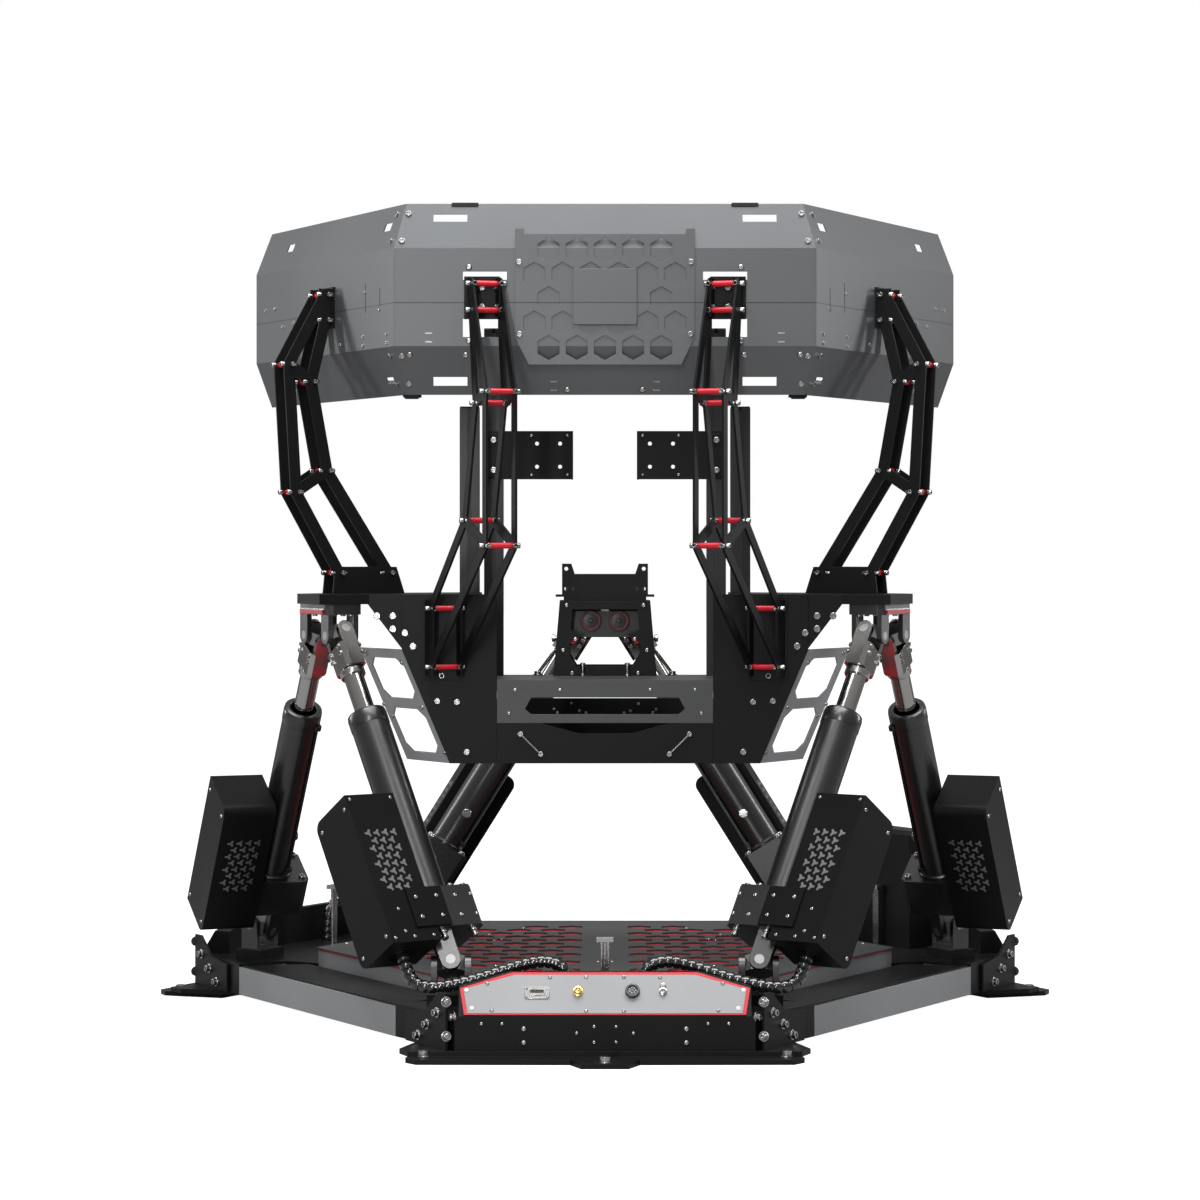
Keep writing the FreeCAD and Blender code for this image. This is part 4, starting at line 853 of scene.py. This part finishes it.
class PLATFORM_OT_connector_panel(bpy.types.Operator):
    """Fits the sockets, screws and plugs of the connector panel."""

    bl_idname = "platform.connector_panel"
    bl_label = "Connector Panel"

    def execute(self, context):
        screws = with_twins([self.at(pixel) for pixel in PANEL_SCREWS])
        Piece().screws(screws, 4.4, 2.6, "button").done("panel_screws", "nickel", "base")
        plugs = Piece()
        for place in with_twins([self.at(pixel) for pixel in PANEL_DISCS]):
            plugs.lathe(place, PLUG)
        plugs.done("panel_plugs", "white_plastic", "base")
        self.mains(self.at(MAINS_PX))
        Piece().lathe(self.at(AERIAL_PX), AERIAL).done("aerial_socket", "brass", "base")
        self.round_socket(self.at(ROUND_PX))
        self.network_socket(self.at(NETWORK_PX))
        return {"FINISHED"}

    def at(self, pixel):
        return seat(*pixel, "connector_panel")

    def mains(self, place):
        """Rectangular flanged connector, with a sheet painted black as the shade inside its slot."""
        flange = Piece().slab(place, 54, 29, -0.3, 2.4, cut=4).slab(place, 34, 15, 2.4, 4.2, cut=2)
        flange.done("mains_flange", "nickel", "base", bevel=0.5)
        # A sheet painted black stands in for the shade inside the slot.
        slot = Piece().slab(shifted(place, 0, 2.4), 29, 8, 4.2, 4.7, cut=1)
        slot.done("mains_slot_shade", "socket_dark", "base")
        corners = [shifted(place, x, y, 2.4) for x in (-22, 22) for y in (-9, 9)]
        Piece().screws(corners, 2.6, 1.6, "pan").done("mains_screws", "nickel", "base")

    def round_socket(self, place):
        """Round socket with a flange, a thread and its pins."""
        socket = Piece().slab(place @ Matrix.Rotation(math.radians(45), 4, "Z"), 30, 30, -0.3, 2, cut=8)
        socket.lathe(place, ROUND_SOCKET, sides=28).done("round_socket", "cast_grey", "base")
        turns = [k * math.tau / PINS_ROUND for k in range(PINS_ROUND)]
        pins = Piece()
        for x, y in [(0, 0)] + [(math.cos(turn), math.sin(turn)) for turn in turns]:
            pins.lathe(shifted(place, PIN_CIRCLE * x, PIN_CIRCLE * y), PIN, sides=10)
        pins.done("round_socket_pins", "nickel", "base")

    def network_socket(self, place):
        """Small network socket with its cap folded up."""
        socket = Piece().lathe(place, NETWORK).lathe(shifted(place, 0, 14), NETWORK_CAP)
        socket.slab(shifted(place, 0, 8), 4, 10, -0.2, 1.6).done("network_socket", "nickel", "base")


# Motor units and cylinders, in millimetres of the leg's frame
VENT_ROWS = 8
VENT_PITCH = (22, 19)
VENT_START = (77, 171)
COVER_FRONT = 60
COVER_OUTSIDE = 173
STRAP_FRONT = 65
BLOCK_UNDERSIDE = 68
BLOCK_TOP = 166
# Screws as (x, z) on the front faces, as (y, z) on the outside and as (x, y) on top
COVER_SCREWS = ((162, 389), (56, 389), (131, 118), (131, 64), (162, 50), (112, 50), (62, 50))
OUTSIDE_SCREWS = ((44, 372), (-62, 372), (44, 62), (-62, 62))
STRAP_SCREWS = ((80, 141), (80, 93), (26, 141), (26, 93))
BLOCK_SCREWS = ((-26, 141), (-26, 93), (-68, 141), (-68, 93))
TOP_SCREWS = ((-66, 44), (-66, -42), (-30, 48))
BREATHER = ((0, -0.3), (9, -0.3, 6), (9, 7, 6), (6.4, 8), (6.4, 13), (8, 14), (8, 20), (5, 22), (0, 22))
TUBE_COLLAR = ((43.9, 596), (44.7, 596.6), (45.2, 598), (45.2, 626), (43.2, 631), (40, 633.2),
               (33, 633.6), (31, 632), (30.5, 600), (38, 598))
FOOT_COLLAR = ((43.9, 166.2), (50, 166.2), (50, 172), (47, 175), (44.1, 176))
TUBE_BUTTON = ((0, -2), (12, -2), (12, 3), (10.5, 4.6), (0, 5))


def vent_outline():
    """Outline of a vent with three pointed arms."""
    outline = []
    for arm in range(3):
        angle = math.radians(90 + arm * 120)
        way = (math.cos(angle), math.sin(angle))
        for reach, half in ((3.2, -2.3), (8.6, -2.3), (9.4, 0), (8.6, 2.3)):
            outline.append((way[0] * reach - way[1] * half, way[1] * reach + way[0] * half))
    return outline


class PLATFORM_OT_motor_units(bpy.types.Operator):
    """Adds vents, screws and fittings to the motor covers and gear blocks."""

    bl_idname = "platform.motor_units"
    bl_label = "Motor Units"

    def execute(self, context):
        for k in LEGS:
            self.vents(k)
            cover = [on_leg(k, x, COVER_FRONT, z, Y_WAY) for x, z in COVER_SCREWS]
            outside = [on_leg(k, COVER_OUTSIDE, y, z, X_WAY) for y, z in OUTSIDE_SCREWS]
            block = [on_leg(k, x, STRAP_FRONT, z, Y_WAY) for x, z in STRAP_SCREWS]
            block += [on_leg(k, x, COVER_FRONT, z, Y_WAY) for x, z in BLOCK_SCREWS]
            screws = Piece().screws(cover, 4.2, 2.4, "button").screws(outside, 4.8, 2.6, "button")
            screws.screws(block, 5, 3, "button").done("unit_screws_%d" % k, "nickel", "barrel_%d" % k)
            self.fittings(k)
        return {"FINISHED"}

    def vents(self, k):
        """Three-pointed vent inserts in staggered rows on both broad faces of the cover."""
        piece = Piece()
        outline = vent_outline()
        home, front = leg_frame(k)
        across = home.to_3x3() @ Vector((0, front, 0))
        upright = home.to_3x3() @ Vector(UP)
        for row in range(VENT_ROWS):
            for column in range(3 + row % 2):
                x = VENT_START[0] + (column + (0 if row % 2 else 0.5)) * VENT_PITCH[0]
                z = VENT_START[1] + row * VENT_PITCH[1]
                behind = on_leg(k, x, -300, z, TO_VIEWER).to_translation()
                back = cast(behind, across, "motor_unit_%d" % k).to_translation()
                for place in (on_leg(k, x, COVER_FRONT, z, Y_WAY), stand(back, -across, upright)):
                    piece.plate(place, outline, -0.3, 0.5)
        piece.done("unit_vents_%d" % k, "vent_steel", "barrel_%d" % k)

    def fittings(self, k):
        """Breathers under the gear block and bolts on top of it."""
        piece = Piece()
        for x in (22, -58):
            piece.lathe(on_leg(k, x, 42, BLOCK_UNDERSIDE, DOWN, X_WAY), BREATHER)
        piece.screws([on_leg(k, x, y, BLOCK_TOP, UP, X_WAY) for x, y in TOP_SCREWS], 7.5, 8)
        piece.done("unit_fittings_%d" % k, "nickel", "barrel_%d" % k)


class PLATFORM_OT_cylinders(bpy.types.Operator):
    """Adds end collars, seals, buttons and switch rails to the cylinders."""

    bl_idname = "platform.cylinders"
    bl_label = "Cylinders"

    def execute(self, context):
        for k in LEGS:
            home, _ = leg_frame(k)
            body = "barrel_%d" % k
            collars = Piece().lathe(home, TUBE_COLLAR, sides=48).lathe(home, FOOT_COLLAR, sides=48)
            collars.done("tube_collars_%d" % k, "tube_black", body)
            button = Piece().lathe(on_leg(k, -44, 0, 262, (-1, 0, 0)), TUBE_BUTTON, sides=24)
            button.done("tube_button_%d" % k, "nickel", body)
            rail = Piece().slab(on_leg(k, -30, -36, 400, UP, X_WAY), 5, 5, -205, 190)
            for z in (188, 600):
                rail.slab(on_leg(k, -31, -35, z, UP, X_WAY), 15, 15, -6, 6, cut=3)
            rail.done("tube_rail_%d" % k, "black_anodised", body, bevel=0.5)
        return {"FINISHED"}


# Half a clamp's thickness, and its ring's height over the lower pivot and profile, in millimetres
CLAMP_HALF = 25
CLAMP_RING_HEIGHT = 730
CLAMP_RING = ((22.8, 0), (28, 0), (29, 2), (29, 15), (27, 16.6), (22.8, 16.6))


class PLATFORM_OT_clamps(bpy.types.Operator):
    """Adds screws, rings and the red stop block to the rods' clamps."""

    bl_idname = "platform.clamps"
    bl_label = "Rod Clamps"

    def execute(self, context):
        for k in LEGS:
            rod = "rod_%d" % k
            places = [on_clamp(k, across, CLAMP_HALF, down, side)
                      for side in (1, -1) for across in (-24, 24) for down in (40, 58)]
            Piece().screws(places, 5.6, 5).done("clamp_screws_%d" % k, "nickel", rod)
            block = Piece().slab(on_clamp(k, 0, CLAMP_HALF, 49, 1), 22, 26, -0.3, 3.5, cut=4)
            block.done("clamp_stop_%d" % k, "red_anodised", rod, bevel=0.8)
            axis = (HIGH_PIVOTS[k] - LOW_PIVOTS[k]).normalized()
            low = stand(LOW_PIVOTS[k] + axis * CLAMP_RING_HEIGHT * MM, axis)
            Piece().lathe(low, CLAMP_RING, sides=36).done("clamp_ring_%d" % k, "nickel", rod)
        return {"FINISHED"}


# Frame, tower and shroud, with rows like the base's
SKINS = ("corner_arms", "cockpit_walls", "window_panels", "cockpit_posts")
CRADLE = ("cradle_table", "cockpit_walls")
FRAME_FASTENERS = (
    ("arm_plate_bolts", "nickel", SKINS, "cap", 8, 5,
     ((377, 616), (393, 616), (393, 629), (405, 633), (413, 646.3))),
    ("front_skin_bolts", "nickel", SKINS, "cap", 7, 5,
     ((441.8, 675.7), (437.3, 701), (427.5, 677), (466.8, 752), (457, 702))),
    ("window_panel_screws", "nickel", SKINS, "button", 5.5, 3,
     ((401.6, 662.7), (383.8, 703.8), (422.1, 707.3), (392.7, 715.9), (444.5, 752.3), (366.8, 652.9))),
    ("table_screws", "nickel", CRADLE, "pan", 4, 2.5,
     ((508.7, 713.6), (515, 690), (560, 690))),
    ("recess_marks", "vent_steel", CRADLE + ("floor_pan",), "pan", 3.5, 1,
     ((571.5, 703.8), (554, 709.3), (557.3, 712.8), (579.5, 711), (586, 712.8))),
)
TOWER_FASTENERS = (
    ("tower_screws", "nickel", ("tower", "head_bracket"), "button", 5.5, 3,
     ((566.5, 605.5), (575.3, 639.4), (563, 650.3), (572, 673.3))),
)
SHROUD_FASTENERS = (
    ("shroud_corner_screws", "nickel", ("shroud_centre", "shroud_sides"), "cap", 6.5, 4,
     ((408.7, 213.8), (402, 241), (397.7, 214.5), (391.4, 241),
      (402, 355.8), (409, 383.6), (397, 384), (390.4, 355.8))),
    ("shroud_face_screws", "nickel", ("shroud_centre",), "button", 7, 3.5,
     ((469, 267.2), (469, 340.9), (465.7, 355), (409.7, 354.8), (567.5, 389.6))),
    ("shroud_side_screws", "nickel", ("shroud_sides",), "pan", 5, 3,
     ((365, 292.8), (379.5, 309), (363, 337), (363, 346), (386.6, 334), (386.6, 343),
      (340, 345), (283, 327), (293, 323), (266, 311), (275, 309))),
    ("grille_screws", "nickel", ("grille_plate",), "cap", 6.5, 4,
     ((519, 262), (519.4, 334.2))),
)
# Ends of the stay rod under the cradle, in pixels of the photograph from its middle line
STAY_ENDS = ((84.3, 734), (64.2, 754))
STAY_RADIUS = 2.4
STAY_FORWARD = -6


class PLATFORM_OT_frame_fasteners(bpy.types.Operator):
    """Bolts the moving frame's arms, skins and panels, and adds the stay rods under the cradle."""

    bl_idname = "platform.frame_fasteners"
    bl_label = "Frame Fasteners"

    def execute(self, context):
        fasten("platform", with_twins, FRAME_FASTENERS)
        stays = Piece()
        forward = Vector((0, STAY_FORWARD * MM, 0))
        for side in (1, -1):
            places = [seat(AXIS_PX[0] + side * px, py, *CRADLE, "floor_pan") for px, py in STAY_ENDS]
            ends = [place.to_translation() + forward for place in places]
            ends[0].y = ends[1].y = min(end.y for end in ends)
            stays.sweep([ends[0], ends[0].lerp(ends[1], 0.5), ends[1]], [STAY_RADIUS * MM] * 3, 10)
            stays.screws([stand(end, TO_VIEWER) for end in ends], 6, 4)
        stays.done("cradle_stays", "nickel", "platform")
        return {"FINISHED"}


# Front faces of the profile posts: middle across, front, foot and top in millimetres from the base's middle
POST_FACES = ((-260.5, -200, 860, 1590), (-311.5, -350, 985, 1402))
POST_HALF = 22.5
# The way from a post's middle to each face, across and back
POST_SIDES = ((0, -1), (0, 1), (-1, 0), (1, 0))
BRACKET_HEIGHT = 1306
BRACKET_PLATE = 5


class PLATFORM_OT_posts(bpy.types.Operator):
    """Adds slots and end caps to the profile posts, and the cover plates of the wheelbase brackets."""

    bl_idname = "platform.posts"
    bl_label = "Posts"
    # Adds slots, as strips painted dark as their shade, and end caps to the profile posts, and the cover
    # plates of the wheelbase brackets.

    def execute(self, context):
        slot_shades = Piece()
        caps = Piece()
        plates = Piece()
        bolts = Piece()
        for x, y, foot, top in POST_FACES:
            for side in (1, -1):
                for across, back in POST_SIDES:
                    out = (x + across * POST_HALF) * side
                    middle = spot(out, y + (1 + back) * POST_HALF, (foot + top) / 2)
                    face = stand(middle, (across * side, back, 0), Y_WAY if across else X_WAY)
                    # A strip painted dark stands in for the shade inside the post's slot.
                    slot_shades.slab(face, 8, top - foot, -0.2, 0.4)
                caps.slab(stand(spot(x * side, y + POST_HALF, top + 10), UP), 44, 44, -0.5, 3, cut=3)
        x, y, _, _ = POST_FACES[0]
        for side in (1, -1):
            plate = stand(spot(x * side, y - BRACKET_PLATE, BRACKET_HEIGHT), TO_VIEWER)
            plates.slab(plate, 38, 100, -0.2, 4, cut=9)
            bolts.screws([shifted(plate, 0, high, 4) for high in (-35, 35)], 7, 4)
            inner = stand(spot(128 * side, y - BRACKET_PLATE, BRACKET_HEIGHT), TO_VIEWER)
            holes = [shifted(inner, along * side, high) for along in (-40, 44) for high in (-46, 46)]
            bolts.screws(holes, 3.4, 2.5, "pan")
        slot_shades.done("post_slot_shade", "socket_dark", "platform")
        caps.done("post_caps", "black_coat", "platform", bevel=0.8)
        plates.done("wheelbase_covers", "black_coat", "platform", bevel=0.8)
        bolts.done("wheelbase_bolts", "nickel", "platform")
        return {"FINISHED"}


# Outer face of the castings, as (y, z), and the underside that their bolts sit on, in millimetres
CASTING_FACE = (773, 950)
CASTING_UNDERSIDE = 938
CASTING_BOLTS = [(x, y) for x in (-62, -22, 22, 62) for y in (706, 756)]


class PLATFORM_OT_castings(bpy.types.Operator):
    """Adds red trim bars, guide strips and bolts where the legs meet the moving frame."""

    bl_idname = "platform.castings"
    bl_label = "Castings"

    def execute(self, context):
        bars = Piece()
        strips = Piece()
        bolts = Piece()
        for turn in ROUND:
            face = turn @ stand(spot(0, *CASTING_FACE), Y_WAY)
            bars.slab(shifted(face, 0, 6), 120, 10, -0.2, 4)
            strips.slab(shifted(face, 0, 0, 0.2), 120, 4, -0.2, 1.4)
            places = [turn @ stand(spot(x, y, CASTING_UNDERSIDE), DOWN) for x, y in CASTING_BOLTS]
            bolts.screws(places, 6, 5)
        bars.done("casting_bars", "red_anodised", "platform", bevel=0.6)
        strips.done("casting_strips", "nickel", "platform")
        bolts.done("casting_bolts", "nickel", "platform")
        return {"FINISHED"}


# The tower's braces: pixels of their upper ends from the middle line, and places in metres
BRACE_TOP_PX = (43, 650)
BRACE_TOP = 0.116
BRACE_FOOT = 0.158
BRACE_BACK = 0.03
BRACE_RADIUS = 0.0042
# Profiles of the dials and knobs in millimetres
DIAL_RIM = ((17, 0), (24, 0), (24, 5), (22.5, 6), (20, 6), (19, 3), (17, 3))
DIAL = ((0, -6), (19.5, -6), (19.5, 1.5), (15, 2.5), (6, 2.5), (5, 5), (0, 5.4))
SIDE_KNOB = ((0, -3), (6, -3), (6, 3), (9, 4), (9, 10), (7.5, 11.5), (0, 12))
TOP_KNOB = ((0, -0.3), (7, -0.3), (7, 5), (3, 6), (3, 22), (6.5, 23), (6.5, 30), (0, 32))


class PLATFORM_OT_tower(bpy.types.Operator):
    """Adds screws, knobs, braces, a lamp and red-rimmed dials to the tower."""

    bl_idname = "platform.tower"
    bl_label = "Tower"

    def execute(self, context):
        fasten("platform", with_twins, TOWER_FASTENERS)
        braces = Piece()
        for side in (-1, 1):
            top = seat(AXIS_PX[0] + side * BRACE_TOP_PX[0], BRACE_TOP_PX[1], "tower").to_translation()
            back = top.y + BRACE_BACK
            foot = Vector((side * BRACE_FOOT, back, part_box("cradle_table")[1][2] + 0.004))
            top = Vector((side * BRACE_TOP, back, top.z))
            braces.sweep([foot, foot.lerp(top, 0.5), top], [BRACE_RADIUS] * 3, 10)
            braces.screws([stand(foot - Vector((0, 0, 0.003)), UP)], 8, 8, "hex")
        braces.done("tower_braces", "nickel", "platform")
        dials = Piece()
        rims = Piece()
        for x in (-33, 33):
            place = stand(spot(x, -165, 918), TO_VIEWER)
            rims.lathe(place, DIAL_RIM, sides=32)
            dials.lathe(place, DIAL, sides=28)
        dials.slab(stand(spot(0, -160, 910), TO_VIEWER), 170, 62, -3, 0, cut=8)
        rims.done("tower_dial_rims", "dial_red", "platform")
        dials.done("tower_dials", "black_anodised", "platform")
        lamp = Piece().slab(stand(spot(0, -164, 943), TO_VIEWER), 18, 5, -4, 1, cut=1)
        lamp.done("tower_lamp", "white_plastic", "platform")
        knobs = Piece()
        for side in (-1, 1):
            knobs.lathe(stand(spot(114 * side, -130, 876), (side, 0, 0), Y_WAY), SIDE_KNOB)
            knobs.lathe(stand(spot(52 * side, -212, 790), UP), TOP_KNOB)
        knobs.done("tower_knobs", "nickel", "platform")
        return {"FINISHED"}


# Pixels of the shroud's small marks, side slots with their heights in millimetres, and bracket bolts
SHROUD_MARKS = ((428.6, 333.2), (428.6, 341.9), (553.6, 381.7), (553.6, 390.3))
SIDE_SLOTS = ((365.5, 298, 66), (379.8, 300, 54))
BRACKET_BOLTS = [(px, py) for px in (482, 495.9) for py in (287.5, 307)]
# How far from the middle the shroud's lower and upper clips sit, in millimetres
LOWER_CLIPS = (-428, 428)
UPPER_CLIPS = (-308, 308)
# A pixel on the flat of the grille, beside the badge
BADGE_PX = (578.5, 296.5)


class PLATFORM_OT_shroud(bpy.types.Operator):
    """Adds screws, slots painted dark as their shade, clips and the bare badge to the shroud and its
    grille.
    """

    bl_idname = "platform.shroud"
    bl_label = "Shroud"

    def execute(self, context):
        fasten("platform", with_twins, SHROUD_FASTENERS)
        marks = Piece()
        for place in with_twins([seat(px, py, "shroud_centre") for px, py in SHROUD_MARKS]):
            marks.slab(place, 15, 3.4, -0.2, 0.5)
        marks.done("shroud_marks", "vent_steel", "platform")
        slots = Piece()
        for px, py, tall in SIDE_SLOTS:
            for place in with_twins([seat(px, py, "shroud_sides")]):
                # A strip painted dark stands in for the shade inside the slot.
                slots.slab(place, 2.6, tall, -0.2, 0.5)
        slots.done("shroud_side_slot_shade", "socket_dark", "platform")
        places = with_twins([seat(px, py, "arm_brackets", "shroud_centre") for px, py in BRACKET_BOLTS])
        Piece().screws(places, 7, 4).done("arm_bracket_bolts", "nickel", "platform")
        self.clips()
        corner = seat(*BADGE_PX, "grille_plate").to_translation()
        badge = Piece().slab(stand(Vector((0, corner.y, corner.z)), TO_VIEWER), 141, 123, -0.3, 2, cut=3)
        badge.done("grille_badge", "shroud_coat", "platform", bevel=0.5)
        return {"FINISHED"}

    def clips(self):
        """Angled clips under the shroud and flat ones along its upper edge."""
        clips = Piece()
        low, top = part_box("shroud_centre")
        for x in LOWER_CLIPS:
            back = Vector((x * MM, low[1] + 0.07, low[2] - 0.003))
            clips.slab(stand(back, DOWN), 40, 46, -4, 1.5, cut=4)
            clips.slab(stand(back + Vector((0, -0.02, 0.004)), TO_VIEWER), 34, 20, -3, 0.5, cut=3)
        for x in UPPER_CLIPS:
            edge = cast(EYE, Vector((x * MM, low[1], top[2] - 0.006)) - EYE, "shroud_centre")
            clips.slab(edge, 60, 9, -0.2, 2.4, cut=2)
        clips.done("shroud_clips", "black_coat", "platform", bevel=0.5)


# Thickness of the plates at a spacer's ends, and of the slice that counts as its end, in millimetres
SPACER_PLATE = 5
SPACER_SLICE = 2


class PLATFORM_OT_spacer_ends(bpy.types.Operator):
    """Screws both ends of every red spacer."""

    bl_idname = "platform.spacer_ends"
    bl_label = "Spacer Ends"

    def execute(self, context):
        mesh = bmesh.new()
        mesh.from_mesh(frame["nodes"]["arm_spacers"].data)
        piece = Piece()
        left = dict.fromkeys(mesh.verts)
        while left:
            corners = self.spacer(left)
            ends = []
            for tip in (min(corners, key=lambda point: point.x), max(corners, key=lambda point: point.x)):
                near = [point for point in corners if abs(point.x - tip.x) < SPACER_SLICE * MM]
                ends.append(sum(near, Vector()) / len(near))
            way = (ends[1] - ends[0]).normalized()
            plate = way * SPACER_PLATE * MM
            piece.screws([stand(ends[0] - plate, -way), stand(ends[1] + plate, way)], 6, 9)
        mesh.free()
        piece.done("spacer_end_screws", "nickel", "platform")
        return {"FINISHED"}

    def spacer(self, left):
        """Takes one spacer's corners out of the vertices that are left, in the mesh's own order."""
        bar = [next(iter(left))]
        del left[bar[0]]
        for vertex in bar:
            for edge in vertex.link_edges:
                other = edge.other_vert(vertex)
                if other in left:
                    del left[other]
                    bar.append(other)
        return [vertex.co for vertex in bar]


# Finishes of the CAD nodes
class PLATFORM_OT_finishes(bpy.types.Operator):
    """Gives every CAD node its finish."""

    bl_idname = "platform.finishes"
    bl_label = "Finishes"

    def execute(self, context):
        for finish, nodes in NODE_FINISH.items():
            for node in nodes:
                materials = frame["nodes"][node].data.materials
                materials.clear()
                materials.append(finish_of(finish))
        return {"FINISHED"}


class PLATFORM_PT_panel(bpy.types.Panel):
    """Lists the settings and the steps."""

    bl_label = "Motion Platform"
    bl_idname = "PLATFORM_PT_panel"
    bl_space_type = "VIEW_3D"
    bl_region_type = "UI"
    bl_category = "Platform"

    def draw(self, context):
        for group in (context.scene.platform_look, context.scene.platform_conduit):
            for setting in group.bl_rna.properties:
                if not setting.is_readonly and setting.identifier != "name":
                    self.layout.prop(group, setting.identifier)
        for step in STEPS:
            self.layout.operator(step.bl_idname)


# The steps in the order that they run
STEPS = (PLATFORM_OT_stage, PLATFORM_OT_conduits, PLATFORM_OT_base_fasteners,
         PLATFORM_OT_connector_panel, PLATFORM_OT_motor_units, PLATFORM_OT_cylinders,
         PLATFORM_OT_clamps, PLATFORM_OT_frame_fasteners, PLATFORM_OT_posts, PLATFORM_OT_castings,
         PLATFORM_OT_tower, PLATFORM_OT_shroud, PLATFORM_OT_spacer_ends, PLATFORM_OT_finishes)
CLASSES = (PlatformLook, PlatformConduit) + STEPS + (PLATFORM_PT_panel,)


def register():
    for cls in CLASSES:
        bpy.utils.register_class(cls)
    bpy.types.Scene.platform_look = PointerProperty(type=PlatformLook)
    bpy.types.Scene.platform_conduit = PointerProperty(type=PlatformConduit)


def unregister():
    del bpy.types.Scene.platform_conduit
    del bpy.types.Scene.platform_look
    for cls in reversed(CLASSES):
        bpy.utils.unregister_class(cls)


def main():
    register()
    for step in STEPS:
        getattr(bpy.ops.platform, step.bl_idname.split(".")[1])()


if __name__ == "__main__":
    main()
